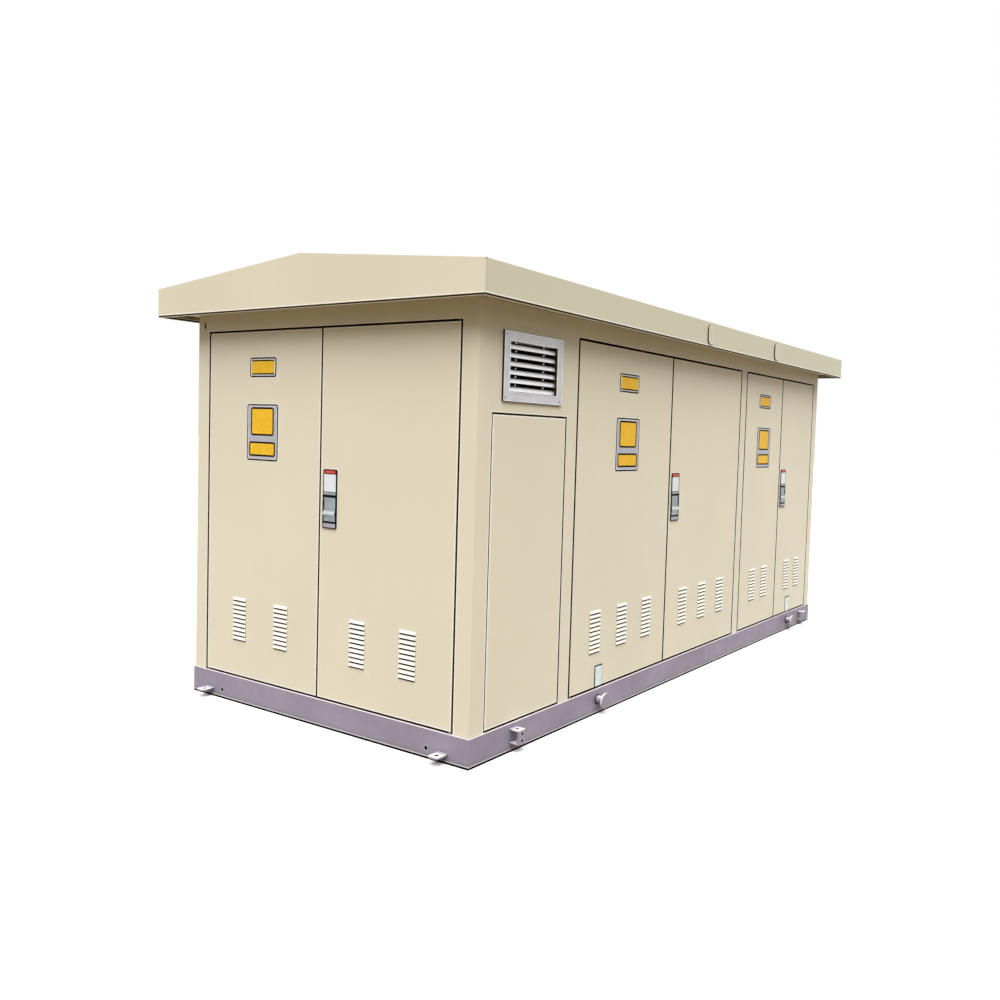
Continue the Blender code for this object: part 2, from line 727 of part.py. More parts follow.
def add_brackets(bm, holes):
    """Earthing brackets on both long sides: web outwards, drilled on top and in front."""
    bottom = BRACKET_TOP - BRACKET_HEIGHT
    reach = BASE_HALF_WIDTH + BRACKET_DEPTH
    for y_sign in (-1, 1):
        weld = y_sign * (BASE_HALF_WIDTH - WELD_SINK)
        path = [(weld, bottom), (y_sign * reach, bottom),
                (y_sign * reach, BRACKET_TOP), (weld, BRACKET_TOP)]
        outline = folded_outline(path, y_sign * BRACKET_THICKNESS)
        for x in placed_from_ends(BRACKET_SETBACKS):
            add_prism(bm, outline, section, x - BRACKET_WIDTH / 2, x + BRACKET_WIDTH / 2)
            bore = y_sign * (BASE_HALF_WIDTH + BRACKET_TOP_HOLE_REACH)
            add_prism(holes, circle(BRACKET_HOLE_RADIUS, BOLT_HOLE_SIDES, (x, bore)), plan,
                      BRACKET_TOP - 2 * BRACKET_THICKNESS, BRACKET_TOP + BRACKET_THICKNESS)
            for rise in BRACKET_HOLE_RISE:
                outer = y_sign * (reach + BRACKET_THICKNESS)
                inner = y_sign * (reach - 2 * BRACKET_THICKNESS)
                add_prism(holes, circle(BRACKET_HOLE_RADIUS, BOLT_HOLE_SIDES, (x, bottom + rise)),
                          lambda a, b, s: (a, s, b), outer, inner)


def add_base_bores(holes):
    """Bores of the ring: end holes, trunnion holes and the sockets of the lower hinge pins."""
    for x_sign in (-1, 1):
        for y_sign in (-1, 1):
            centre = (y_sign * (HALF_WIDTH - BASE_HOLE_SETBACK), BASE_HOLE_HEIGHT)
            outline = circle(BASE_HOLE_RADIUS, BOLT_HOLE_SIDES, centre)
            start = x_sign * (BASE_HALF_LENGTH + CHANNEL_WEB_THICKNESS)
            end = x_sign * (BASE_HALF_LENGTH - 2 * CHANNEL_WEB_THICKNESS)
            add_prism(holes, outline, section, start, end)
    for y_sign in (-1, 1):
        for x in placed_from_ends(TRUNNION_SETBACKS):
            outline = circle(TRUNNION_RADIUS + TRUNNION_BORE_CLEARANCE, TRUNNION_SIDES,
                             (x, TRUNNION_HEIGHT))
            start = y_sign * (BASE_HALF_WIDTH + CHANNEL_WEB_THICKNESS)
            end = y_sign * (BASE_HALF_WIDTH - 2 * CHANNEL_WEB_THICKNESS)
            add_prism(holes, outline, lambda a, b, s: (a, s, b), start, end)
    for side in SIDES:
        for _, leaf_start, leaf_end, hinge_at, _ in bay_layout(side)[0]:
            u = hinge_point(leaf_start, leaf_end, hinge_at)
            centre = wall_matrix(side) @ Vector((u, HINGE_DEPTH, 0))
            add_upright_cylinder(holes, centre.x, centre.y, pin_hole_radius(),
                                 BASE_HEIGHT - PIN_SOCKET_DEPTH, BASE_HEIGHT + PIN_SOCKET_DEPTH)


def add_bearers(bm):
    """Channel bearers across the ring, under the floor plate."""
    top = BASE_HEIGHT - BEARER_DROP
    bottom = top - BEARER_DEPTH
    reach = BASE_HALF_WIDTH - CHANNEL_WEB_THICKNESS + WELD_SINK
    for x in BEARER_OFFSETS:
        path = [(x + BEARER_WIDTH / 2, top), (x - BEARER_WIDTH / 2, top),
                (x - BEARER_WIDTH / 2, bottom), (x + BEARER_WIDTH / 2, bottom)]
        add_prism(bm, folded_outline(path, BEARER_WALL), lambda a, b, s: (a, s, b), -reach, reach)


def base_frame(material):
    bm = bmesh.new()
    add_channel_ring(bm)
    frame = finish_object("base_frame", bm, material)
    welded = bmesh.new()
    holes = bmesh.new()
    add_bearers(welded)
    add_tabs(welded, holes)
    add_brackets(welded, holes)
    add_base_bores(holes)
    combine(frame, finish_object("base_welded_pieces", welded, material), "UNION")
    combine(frame, finish_object("base_bores", holes, material), "DIFFERENCE")
    return frame


def floor_plate(material):
    inset = CHANNEL_FLANGE - FLOOR_BEARING
    x = BASE_HALF_LENGTH - inset
    y = BASE_HALF_WIDTH - inset
    bottom = BASE_HEIGHT + SEAT_GAP
    bm = bmesh.new()
    add_box(bm, (-x, -y, bottom), (x, y, bottom + FLOOR_THICKNESS))
    return finish_object("floor_plate", bm, material)


def lifting_trunnion(name, x, y_sign, material):
    """A bar through the base web with a disc at its outer end and a collar inside."""
    web_inner = BASE_HALF_WIDTH - CHANNEL_WEB_THICKNESS - SEAT_GAP
    collar_end = web_inner - TRUNNION_COLLAR_THICKNESS
    tip = BASE_HALF_WIDTH + TRUNNION_REACH
    disc = tip - TRUNNION_DISC_THICKNESS
    bevel = TRUNNION_DISC_BEVEL
    outline = [
        (0, collar_end), (TRUNNION_COLLAR_RADIUS, collar_end), (TRUNNION_COLLAR_RADIUS, web_inner),
        (TRUNNION_RADIUS, web_inner), (TRUNNION_RADIUS, disc), (TRUNNION_DISC_RADIUS, disc),
        (TRUNNION_DISC_RADIUS, tip - bevel), (TRUNNION_DISC_RADIUS - bevel, tip), (0, tip),
    ]
    bm = bmesh.new()
    add_turned(bm, outline,
               lambda r, c, s, h: (x + r * c, y_sign * h, TRUNNION_HEIGHT + r * s), TRUNNION_SIDES)
    item = finish_object(name, bm, material)
    shade_round(item)
    return item


def roof_ring(bm, inset, z):
    x = HALF_LENGTH + ROOF_OVERHANG - inset
    y = HALF_WIDTH + ROOF_OVERHANG - inset
    return [bm.verts.new(point) for point in ((-x, -y, z), (x, -y, z), (x, y, z), (-x, y, z))]


def roof_height(y):
    """Height of the roof's outer surface at a distance y from the ridge."""
    half = HALF_WIDTH + ROOF_OVERHANG
    rise = RIDGE_RISE - FASCIA_HEIGHT
    return EAVES_BOTTOM + FASCIA_HEIGHT + rise * (1 - abs(y) / half)


def roof_drop(thickness):
    """Vertical distance through a sheet of this thickness on the roof slope."""
    half = HALF_WIDTH + ROOF_OVERHANG
    return thickness * math.hypot(half, RIDGE_RISE - FASCIA_HEIGHT) / half


def close_gable(bm, ring, inset, drop):
    """Walls and slopes over a ring of four corners, meeting at a ridge along X."""
    x = HALF_LENGTH + ROOF_OVERHANG - inset
    y = HALF_WIDTH + ROOF_OVERHANG - inset
    eaves = [bm.verts.new((corner.co.x, corner.co.y, roof_height(y) - drop)) for corner in ring]
    ridge = [bm.verts.new((sign * x, 0, roof_height(0) - drop)) for sign in (-1, 1)]
    bm.faces.new((ring[0], ring[1], eaves[1], eaves[0]))
    bm.faces.new((ring[2], ring[3], eaves[3], eaves[2]))
    bm.faces.new((ring[1], ring[2], eaves[2], ridge[1], eaves[1]))
    bm.faces.new((ring[3], ring[0], eaves[0], ridge[0], eaves[3]))
    bm.faces.new((eaves[0], eaves[1], ridge[1], ridge[0]))
    bm.faces.new((eaves[2], eaves[3], ridge[0], ridge[1]))


def add_roof_tabs(bm):
    """Plates with rounded lower corners on both long fascias, over the roof's lifting points."""
    bottom = EAVES_BOTTOM + ROOF_TAB_LIFT
    top = bottom + ROOF_TAB_HEIGHT
    radius = ROOF_TAB_CORNER
    half = ROOF_TAB_WIDTH / 2
    face = HALF_WIDTH + ROOF_OVERHANG
    for x in ROOF_TAB_OFFSETS:
        outline = [(x + half, top), (x - half, top)]
        for side_sign, first_angle in ((-1, 180), (1, 270)):
            for i in range(ROOF_TAB_ARC_STEPS + 1):
                angle = math.radians(first_angle + 90 * i / ROOF_TAB_ARC_STEPS)
                outline.append((x + side_sign * (half - radius) + radius * math.cos(angle),
                                bottom + radius + radius * math.sin(angle)))
        for y_sign in (-1, 1):
            add_prism(bm, outline, lambda a, b, s: (a, s, b),
                      y_sign * (face - WELD_SINK), y_sign * (face + ROOF_TAB_PROUD))


def roof_shell(material):
    """The gabled cover: slopes, gables, fascias and the return under them."""
    bm = bmesh.new()
    outer = roof_ring(bm, 0, EAVES_BOTTOM)
    lip_low = roof_ring(bm, ROOF_RETURN, EAVES_BOTTOM)
    lip_high = roof_ring(bm, ROOF_RETURN, EAVES_BOTTOM + ROOF_SHEET)
    inner = roof_ring(bm, ROOF_SHEET, EAVES_BOTTOM + ROOF_SHEET)
    join_rings(bm, outer, lip_low)
    join_rings(bm, lip_low, lip_high)
    join_rings(bm, lip_high, inner)
    close_gable(bm, outer, 0, 0)
    close_gable(bm, inner, ROOF_SHEET, roof_drop(ROOF_SHEET))
    shell = finish_object("roof_shell", bm, material)
    tabs = bmesh.new()
    add_roof_tabs(tabs)
    combine(shell, finish_object("roof_tab_guides", tabs, material), "UNION")
    return shell


def roof_frame(material):
    """The tray that closes the top of the walls, with ribs that carry the roof sheet."""
    length = HALF_LENGTH + ROOF_OVERHANG - ROOF_SHEET - SEAT_GAP
    y = HALF_WIDTH + ROOF_OVERHANG - ROOF_SHEET - SEAT_GAP
    bottom = WALL_TOP + SEAT_GAP
    profile = ((0, 0), (0, TRAY_EDGE), (SHEET, TRAY_EDGE), (SHEET, SHEET))
    bm = bmesh.new()
    rings = []
    for inset, rise in profile:
        rings.append([bm.verts.new(point) for point in (
            (inset - length, inset - y, bottom + rise), (length - inset, inset - y, bottom + rise),
            (length - inset, y - inset, bottom + rise), (inset - length, y - inset, bottom + rise))])
    bm.faces.new(rings[0])
    bm.faces.new(rings[-1])
    for first, second in zip(rings, rings[1:]):
        join_rings(bm, first, second)
    tray = finish_object("roof_frame", bm, material)
    ribs = bmesh.new()
    reach = y - SHEET - SEAM
    drop = roof_drop(ROOF_SHEET) + SEAT_GAP
    foot = bottom + SHEET - WELD_SINK
    outline = [(-reach, foot), (reach, foot), (reach, roof_height(reach) - drop),
               (0, roof_height(0) - drop), (-reach, roof_height(reach) - drop)]
    for x in RIB_OFFSETS:
        add_prism(ribs, outline, section, x - RIB_THICKNESS / 2, x + RIB_THICKNESS / 2)
    combine(tray, finish_object("rib_guides", ribs, material), "UNION")
    return tray


def handle_left_edge(side, leaf):
    """Start of the lock on the leaf that carries it, just off the seam between two leaves."""
    _, start, end, _, _ = leaf
    if side in ("near_end", "far_end"):
        return end - HANDLE_EDGE_GAP - HANDLE_WIDTH
    return start + HANDLE_EDGE_GAP


def build_side(side, materials):
    leaves, mullions = bay_layout(side)
    header(side, materials["cream"])
    for i, start in enumerate(mullions):
        mullion("mullion_" + side + "_" + str(i + 1), side, start, materials["cream"])
    if mullions:
        window_wall(side, materials["cream"])
        side_panel(side, materials["cream"])
        louvre_window(side, materials["aluminium"])
    for name, start, end, hinge_at, vents in leaves:
        door_leaf("door_" + side + "_" + name, side, start, end, hinge_at, vents,
                  materials["cream"])
    locks = {"_main": leaves[1], "_side": leaves[3]} if mullions else {"": leaves[0]}
    for suffix, leaf in locks.items():
        lock_handle("lock_" + side + suffix, side, handle_left_edge(side, leaf), materials["lock"])


def main():
    clear_scene()
    materials = {
        "cream": plain_material("cream_paint", (0.72, 0.65, 0.49), 0.45, 0.0),
        "base": plain_material("base_paint", (0.34, 0.29, 0.36), 0.50, 0.0),
        "floor": plain_material("floor_steel", (0.36, 0.36, 0.37), 0.55, 0.0),
        "aluminium": plain_material("aluminium", (0.72, 0.74, 0.76), 0.35, 1.0),
        "lock": plain_material("lock_grey", (0.30, 0.34, 0.37), 0.40, 0.0),
    }
    base_frame(materials["base"])
    floor_plate(materials["floor"])
    for y_name, y_sign in (("front", -1), ("back", 1)):
        for x_name, x in zip(("near", "far"), placed_from_ends(TRUNNION_SETBACKS)):
            lifting_trunnion("trunnion_" + y_name + "_" + x_name, x, y_sign, materials["base"])
        for x_name, x_sign in (("near", -1), ("far", 1)):
            corner_post("post_" + y_name + "_" + x_name, x_sign, y_sign, materials["cream"])
    for side in SIDES:
        build_side(side, materials)
    roof_frame(materials["cream"])
    roof_shell(materials["cream"])


main()
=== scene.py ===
"""Finish of the compact substation housing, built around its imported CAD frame.

Frame: metres, +Z up, X along the length, -Y the long side with the doors, -X the near end.
A wall is drawn in its own coordinates: u along the wall, d inwards from its outer face, z up.
"""

import json
import random
from math import cos, dist, pi, radians, sin

import bmesh
import bpy
from mathutils import Matrix, Quaternion, Vector


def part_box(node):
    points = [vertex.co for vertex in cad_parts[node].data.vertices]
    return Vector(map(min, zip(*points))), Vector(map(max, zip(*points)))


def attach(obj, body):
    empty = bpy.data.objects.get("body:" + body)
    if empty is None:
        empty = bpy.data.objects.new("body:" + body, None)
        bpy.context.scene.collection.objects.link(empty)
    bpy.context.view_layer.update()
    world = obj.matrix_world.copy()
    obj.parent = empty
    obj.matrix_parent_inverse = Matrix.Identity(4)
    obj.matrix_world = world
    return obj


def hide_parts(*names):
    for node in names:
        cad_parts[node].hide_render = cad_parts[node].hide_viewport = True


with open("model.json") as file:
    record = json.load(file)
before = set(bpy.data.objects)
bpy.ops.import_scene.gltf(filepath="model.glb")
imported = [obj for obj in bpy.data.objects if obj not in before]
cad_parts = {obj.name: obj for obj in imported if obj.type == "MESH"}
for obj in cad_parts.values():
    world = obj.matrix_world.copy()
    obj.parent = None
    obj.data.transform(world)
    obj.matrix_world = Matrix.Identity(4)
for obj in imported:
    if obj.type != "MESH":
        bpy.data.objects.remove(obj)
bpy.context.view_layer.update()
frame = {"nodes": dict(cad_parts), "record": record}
scene = bpy.context.scene
rng = random.Random(11)

BODY_OF = {
    node: body
    for body, nodes in frame["record"]["behaviour"]["bodies"].items()
    for node in nodes
}

# Places taken from the frame
WALL_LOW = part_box("post_front_near")[0]
WALL_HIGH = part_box("post_back_far")[1]
BASE_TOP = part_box("base_frame")[1].z
HEAD_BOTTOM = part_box("header_front")[0].z
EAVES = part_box("roof_shell")[0].z
OVERHANG = WALL_LOW.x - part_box("roof_shell")[0].x
LEAF_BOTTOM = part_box("side_panel_front")[0].z
SIDES = {
    "front": ((1, 0), (WALL_LOW.x, WALL_LOW.y), (0, 1)),
    "back": ((1, 0), (WALL_LOW.x, WALL_HIGH.y), (0, -1)),
    "near_end": ((0, 1), (WALL_LOW.x, WALL_LOW.y), (1, 0)),
    "far_end": ((0, 1), (WALL_HIGH.x, WALL_LOW.y), (-1, 0)),
}

# Sizes shared with the frame
SEAM = 0.006
STOP_DEPTH = 0.046
CHAMFER = 0.004
LEAF_TOP = HEAD_BOTTOM - SEAM
BASE_LEDGE = 0.006

# Faces of the base: sign outwards and place, of its ends in X and its long sides in Y
BASE_ENDS = ((-1, WALL_LOW.x - BASE_LEDGE), (1, WALL_HIGH.x + BASE_LEDGE))
BASE_LONGS = ((-1, WALL_LOW.y - BASE_LEDGE), (1, WALL_HIGH.y + BASE_LEDGE))

# Half the thickness of the films laid over a surface
FILM = 0.0002

# Sealing profile on the edges of the leaves and round the bays, dark so that it paints their shade
SEAL = 0.0008
SEAL_FRONT = 0.0008
SEAL_BULB = 0.003
SEAL_BULB_WIDTH = 0.012
SEAL_BULB_STEPS = 6
# How far the seal reaches in from the edge of a leaf or panel, over its chamfer and face
SEAL_LAPS = {"_end_": 0.0032, "_main_": 0.0054, "_side_": 0.0054, "panel": 0.0024}
LEAF_SEAL_START = 0.005
LEAF_SEAL_END = 0.036
SILL_SEAL = 0.0035
SILL_SEAL_FRONT = 0.0002
HEAD_PIN_SPAN = (0.0042, 0.0142)
SILL_PIN_SPAN = (0.0011, 0.0169)
PIN_NOTCH = 0.03

# Painted highlights along the folds, and the lip of the seal beside them, a film of painted shade
EDGE_WIDTH = 0.005
POST_LIP = 0.0036
PANEL_LIP = 0.0008
HEAD_LIP = 0.0018

# Pressed vents in the leaves: places of their columns, and the painted shadows under their mouths
VENT_COLUMNS = {"_end_": (-0.17, 0.17), "_main_": (-0.28, 0.0, 0.28), "_side_": (-0.113, 0.113)}
VENT_ROWS = 10
VENT_PITCH = 0.0239
VENT_RISE = 0.2015
VENT_WIDTH = 0.105
VENT_HEIGHT = 0.014
VENT_MOUTH = 0.0075
VENT_MARK_LIFT = 0.003

# Bead on the ledge of the base, pale, a painted highlight along its top edge
BEAD_START = 0.0012
BEAD_END = 0.0058
BEAD_HEIGHT = 0.0016
BEAD_ROUND = 0.0006

# Painted shadow line along the foot of the base
FOOT_SHADOW_LINE = (0.0004, 0.0102)

# Drip seal under the fascias, a painted shadow, and the bright fold over it, a painted highlight
DRIP_INSET = 0.0012
DRIP_WIDTH = 0.006
DRIP_DROP = 0.008
DRIP_LIP = 0.0025
DRIP_LIP_STEP = 0.001
DRIP_FOLD = 0.006

# Covers over the lifting tabs of the roof, in a dark seal of painted shade with a painted highlight
COVER_OFFSETS = (-0.222, 0.868)
COVER_SIZE = (0.072, 0.118)
COVER_FOOT = 0.01
COVER_CORNER = 0.031
COVER_PROUD = 0.0082
COVER_SEAL = 0.0012
COVER_FOLD = 0.0062

# Corner joints of the roof cover
JOINT_SETBACK = 0.0085
JOINT_WIDTH = 0.0016
JOINT_PROUD = 0.0003
FASCIA_HEIGHT = 0.1445
RELIEF_RADIUS = 0.0032
RELIEF_SETBACK = 1.2 * RELIEF_RADIUS

# Sign plates on the left leaf of each visible pair, printed in layers
SIGN_LEAVES = (
    ("near_end", "door_near_end_left"),
    ("front", "door_front_main_left"),
    ("front", "door_front_side_left"),
)
PLATE_SIZE = (0.252, 0.299)
PLATE_HEIGHT = 1.484
PLATE_CORNER = 0.015
PLATE_THICKNESS = 0.0012
LAYER = 0.0003
PLATE_LINE = 0.008
PLATE_BORDER = 0.004
PLATE_BEAD = 0.0035
FIELD_LINE = 0.0095
SIGN_FIELDS = (((0.186, 0.15), 0.058), ((0.212, 0.078), -0.088))
FIELD_CORNER = 0.014
NAME_PLATE_SIZE = (0.214, 0.104)
NAME_PLATE_HEIGHT = 1.828
NAME_FIELD = (0.182, 0.078)
NAME_LINE_HEIGHT = 0.0075
NAME_CORNER = PLATE_CORNER / 4

# Flush locks, each on the leaf that carries it, and whether a card sits over it
LOCKS = (
    ("near_end", "lock_near_end", True),
    ("front", "lock_front_main", True),
    ("front", "lock_front_side", True),
    ("far_end", "lock_far_end", False),
    ("back", "lock_back_main", False),
    ("back", "lock_back_side", False),
)
LOCK_HEIGHT = 0.182
LOCK_CORNER = 0.006
LOCK_PROUD = 0.0072
LOCK_TRAY = 0.004
LOCK_SIDE = 0.0062
LOCK_EDGE = 0.001
LOCK_BEAD = 0.0045
LOCK_BARS = ((0.1765, 0.1805, 2), (0.168, 0.1765, 1), (0.0045, 0.0245, 3))
LOCK_BAR_PROUD = 0.0078
LOCK_DOT = (0.012, 0.0185, 0.0035)
LEVER_MARGIN = 0.0095
LEVER_SPAN = (0.036, 0.155)
LEVER_FACE = 0.0075
LEVER_DISH = 0.0028
LEVER_FLARE = 0.0085
LEVER_FLARE_POWER = 7
LEVER_LIP_TOP = 0.076
LEVER_LIP_ROUND = 0.012
LEVER_LIP_STEPS = 4
LEVER_HEEL = 0.008
LEVER_STEPS = 14
LEVER_END = 0.002
LEVER_END_SHARE = 0.72
CARD_HEIGHT = 0.115
CARD_CORNER = 0.011
CARD_PROUD = 0.005
CARD_FRAME = 0.002
CARD_SIDE = 0.0072
CARD_BAND = 0.0235
CARD_BAND_EDGE = 0.007

# Stickers at the foot of two leaves: wall, leaf body, middle, size, foot
STICKERS = (
    ("front", "door_front_main_left", 1.076, (0.08, 0.12), 0.151),
    ("front", "door_front_side_right", 3.944, (0.09, 0.124), 0.15),
)
STICKER_LINE = 0.003
STICKER_MARGIN = (0.01, 0.008)

# Louvre window: two bright lips and a duller face between them in a shaded copy of the aluminium,
# painting shade; each with its insets, its depths and its finish, then a gasket and corner screws
LOUVRE_FACE_FRONT = -0.0094
LOUVRE_FACES = (
    ((-FILM, 0.003 + FILM), (-0.0105, -0.0123), 0),
    ((0.0395 - FILM, 0.0425 + FILM), (-0.0105, -0.0123), 0),
    ((0.0042, 0.0386), (-0.0086, LOUVRE_FACE_FRONT), 1),
)
GASKET_SPREAD = 0.002
GASKET_FRONT = -0.0095
GASKET_BEAD = 0.004
LOUVRE_BORDER = 0.0425
LOUVRE_SLEEVE_DEPTH = 0.042
JAMB_FILM = 0.0004
JAMB_FRONT = -0.008
ROD_OFFSET = 0.11
ROD_DEPTH = 0.02
ROD_RADIUS = 0.003
ROD_SLEEVE = 0.0005
ROD_TICK = 0.006
ROD_TICK_PLACE = 0.8
SLAT_COUNT = 6
SCREW_INSET = 0.015
SCREW_PROFILE = ((0.0001, 0.0011), (0.001, 0.0011), (0.0013, 0.0022), (0.0026, 0.0018),
                 (0.0036, 0.0009), (0.0038, 0.0))
SCREW_SIDES = 20

# Upright slot in a thin collar on the wall of the near end, at its upper left corner
WALL_SLOT = (1.979, 2.062)
WALL_SLOT_SIZE = (0.011, 0.034)
WALL_SLOT_COLLAR = 0.0035

# Foundation tabs and earthing brackets on the base: outward sign, face, and middle along it
TAB_SETBACK = 0.1495
TAB_MIDDLES = (WALL_LOW.y + TAB_SETBACK, WALL_HIGH.y - TAB_SETBACK)
TABS = [(sign, x, y) for sign, x in BASE_ENDS for y in TAB_MIDDLES]
TAB_WIDTH = 0.062
TAB_TOP = 0.047
TAB_THICKNESS = 0.008
TAB_HOLE_REACH = 0.04
TAB_HOLE_RADIUS = 0.007
BRACKET_MIDDLES = (WALL_LOW.x + 0.317, WALL_HIGH.x - 0.238)
BRACKETS = [(sign, y, x) for sign, y in BASE_LONGS for x in BRACKET_MIDDLES]
BRACKET_WIDTH = 0.056
BRACKET_DEPTH = 0.055
BRACKET_TOP = 0.114
BRACKET_HEIGHT = 0.07
BRACKET_HOLE_RADIUS = 0.006
BRACKET_TOP_HOLE_REACH = 0.026
BRACKET_HOLE_RISE = (0.019, 0.052)

# Bolt holes in the base ends, trunnion discs, rims and caps, and weld beads;
# the rims are painted highlights and the caps painted shade
BASE_HOLE_RADIUS = 0.0075
BASE_HOLE_SETBACK = 0.2525
BASE_HOLE_HEIGHT = 0.05
TRUNNIONS = [f"trunnion_{side}_{end}" for side in ("front", "back") for end in ("near", "far")]
TRUNNION_RADIUS = 0.0225
DISC_RADIUS = 0.043
DISC_THICKNESS = 0.008
DISC_BEVEL = 0.002
TRUNNION_ROOT = (0.0045, 0.003)
HOLE_RIM = 0.0017
HOLE_RIM_PROUD = 0.0004
CAP_PROUD = 0.0002
CAP_THICKNESS = 0.0025
CAP_SPREAD = 0.0036
HOLE_SIDES = 24
WELD_RADIUS = 0.003
WELD_RIPPLE = 0.16
WELD_PITCH = 0.005
WELD_STEP = 0.00125
WELD_SIDES = 8
WELD_JITTER = 0.05
CORNER_WELD_RADIUS = 0.6 * WELD_RADIUS
CORNER_WELD_SINK = 0.35 * WELD_RADIUS

# Steps of a rounded corner, the share of its radius that an inner ring keeps, and limits
CORNER_STEPS = 5
LEAST_CORNER = 1 / 8
SAME_POINT = 1e-9
SHARP_ANGLE = radians(35)


def wall_matrix(side):
    along, corner, inward = SIDES[side]
    rows = [(along[i], inward[i], 0, corner[i]) for i in (0, 1)]
    return Matrix((*rows, (0, 0, 1, 0), (0, 0, 0, 1)))


def wall_range(side, node):
    """Start and end of a node along its wall."""
    axis = 0 if side in ("front", "back") else 1
    return [corner[axis] - WALL_LOW[axis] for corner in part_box(node)]


def leaf_corners(side, node):
    """Lower and upper corner of a leaf or panel in its wall, without its hinge pins."""
    start, end = wall_range(side, node)
    return (start, LEAF_BOTTOM), (end, min(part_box(node)[1].z, LEAF_TOP))


def bay_list():
    """Every bay: name, wall, leaves from first to last, start and end in its wall, and head."""
    bays = [(side, side, [f"door_{side}_right", f"door_{side}_left"], f"header_{side}")
            for side in ("near_end", "far_end")]
    for side in ("front", "back"):
        bays.append((f"{side}_window", side, [f"side_panel_{side}"], f"window_wall_{side}"))
        for part in ("main", "side"):
            leaves = [f"door_{side}_{part}_left", f"door_{side}_{part}_right"]
            bays.append((f"{side}_{part}", side, leaves, f"header_{side}"))
    return [(name, side, leaves, wall_range(side, leaves[0])[0] - SEAM,
             wall_range(side, leaves[-1])[1] + SEAM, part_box(over)[0].z)
            for name, side, leaves, over in bays]


# Materials

# Sockets of the colour Mix node, whose names its other kinds share
MIX_FIRST, MIX_SECOND, MIX_RESULT = 6, 7, 2


def add_node(tree, kind, inputs, **settings):
    """Outputs of a new node; inputs gives its sockets a value, or the output that feeds them."""
    node = tree.nodes.new(kind)
    for key, value in settings.items():
        setattr(node, key, value)
    for key, value in inputs.items():
        if isinstance(value, bpy.types.NodeSocket):
            tree.links.new(value, node.inputs[key])
        else:
            node.inputs[key].default_value = value
    return node.outputs


def mixed_colour(tree, factor, first, second):
    """Colour between two, each a tuple of red, green and blue or an output."""
    inputs = {"Factor": factor}
    for socket, colour in ((MIX_FIRST, first), (MIX_SECOND, second)):
        inputs[socket] = (*colour, 1.0) if isinstance(colour, tuple) else colour
    return add_node(tree, "ShaderNodeMix", inputs, data_type="RGBA")[MIX_RESULT]


class Finish:
    """A material under construction: a Principled shader and textures in object coordinates."""

    def __init__(self, name, roughness, metallic=0.0, gloss=0.5):
        self.material = bpy.data.materials.new(name)
        self.material.use_nodes = True
        self.tree = self.material.node_tree
        self.shader = self.tree.nodes["Principled BSDF"]
        for socket, value in (("Roughness", roughness), ("Metallic", metallic),
                              ("Specular IOR Level", gloss)):
            self.shader.inputs[socket].default_value = value
        self.mean_roughness = roughness
        self.coordinates = self.node("ShaderNodeTexCoord", {})["Object"]

    def node(self, kind, inputs, **settings):
        return add_node(self.tree, kind, inputs, **settings)

    def noise(self, scale, detail=3.0, stretch=(1, 1, 1)):
        """Noise between 0 and 1, its cells stretched along the axes with small factors."""
        mapping = self.node("ShaderNodeMapping", {"Scale": stretch, "Vector": self.coordinates})
        inputs = {"Scale": scale, "Detail": detail, "Vector": mapping["Vector"]}
        return self.node("ShaderNodeTexNoise", inputs)["Fac"]

    def remap(self, value, low, high, start, end):
        inputs = {"Value": value, "From Min": low, "From Max": high, "To Min": start, "To Max": end}
        return self.node("ShaderNodeMapRange", inputs)["Result"]

    def patches(self, scale, detail, low, high, most=1.0, stretch=(1, 1, 1)):
        """From 0 to most where a noise passes from low to high."""
        return self.remap(self.noise(scale, detail, stretch), low, high, 0.0, most)

    def uneven(self, value, smoother, rougher):
        """Roughness that drifts to both sides of its mean with a noise."""
        mean = self.mean_roughness
        return self.remap(value, 0.3, 0.7, mean - smoother, mean + rougher)

    def part(self, vector, axis):
        """One part of a vector output."""
        return self.node("ShaderNodeSeparateXYZ", {"Vector": vector})[axis]

    def facing(self, axis):
        """One part of the face's normal."""
        return self.part(self.node("ShaderNodeNewGeometry", {})["Normal"], axis)

    def facing_up(self, low, high, most):
        """From 0 on upright faces to most on faces that look up."""
        return self.remap(self.facing("Z"), low, high, 0.0, most)

    def facing_sides(self, most):
        """From 0 to most on faces that look along Y, to either side."""
        size = self.node("ShaderNodeMath", {0: self.facing("Y")}, operation="ABSOLUTE")
        return self.remap(size["Value"], 0.85, 0.98, 0.0, most)

    def height_band(self, low, high, soft):
        """1 between two heights over the ground, falling to 0 over the soft distance."""
        height = self.part(self.coordinates, "Z")
        inputs = {0: self.remap(height, low - soft, low, 0.0, 1.0),
                  1: self.remap(height, high, high + soft, 1.0, 0.0)}
        return self.node("ShaderNodeMath", inputs, operation="MINIMUM")["Value"]

    def crevice_shade(self, reach, strength):
        """From 0 on open faces to strength where other surfaces lie closer than reach."""
        # Painted shade: darker where other surfaces lie close
        open_air = self.node("ShaderNodeAmbientOcclusion", {"Distance": reach}, samples=8)
        return self.remap(open_air["AO"], 0.3, 0.85, strength, 0.0)

    def mix(self, factor, first, second):
        return mixed_colour(self.tree, factor, first, second)

    def done(self, colour, roughness=None, *bumps):
        """The material, its shader fed; each bump has a height, a distance and a strength."""
        normal = None
        for height, distance, strength in bumps:
            inputs = {"Height": height, "Distance": distance, "Strength": strength}
            if normal is not None:
                inputs["Normal"] = normal
            normal = self.node("ShaderNodeBump", inputs)["Normal"]
        feeds = (("Base Color", colour), ("Roughness", roughness), ("Normal", normal))
        for socket, output in feeds:
            if output is not None:
                self.tree.links.new(output, self.shader.inputs[socket])
        return self.material


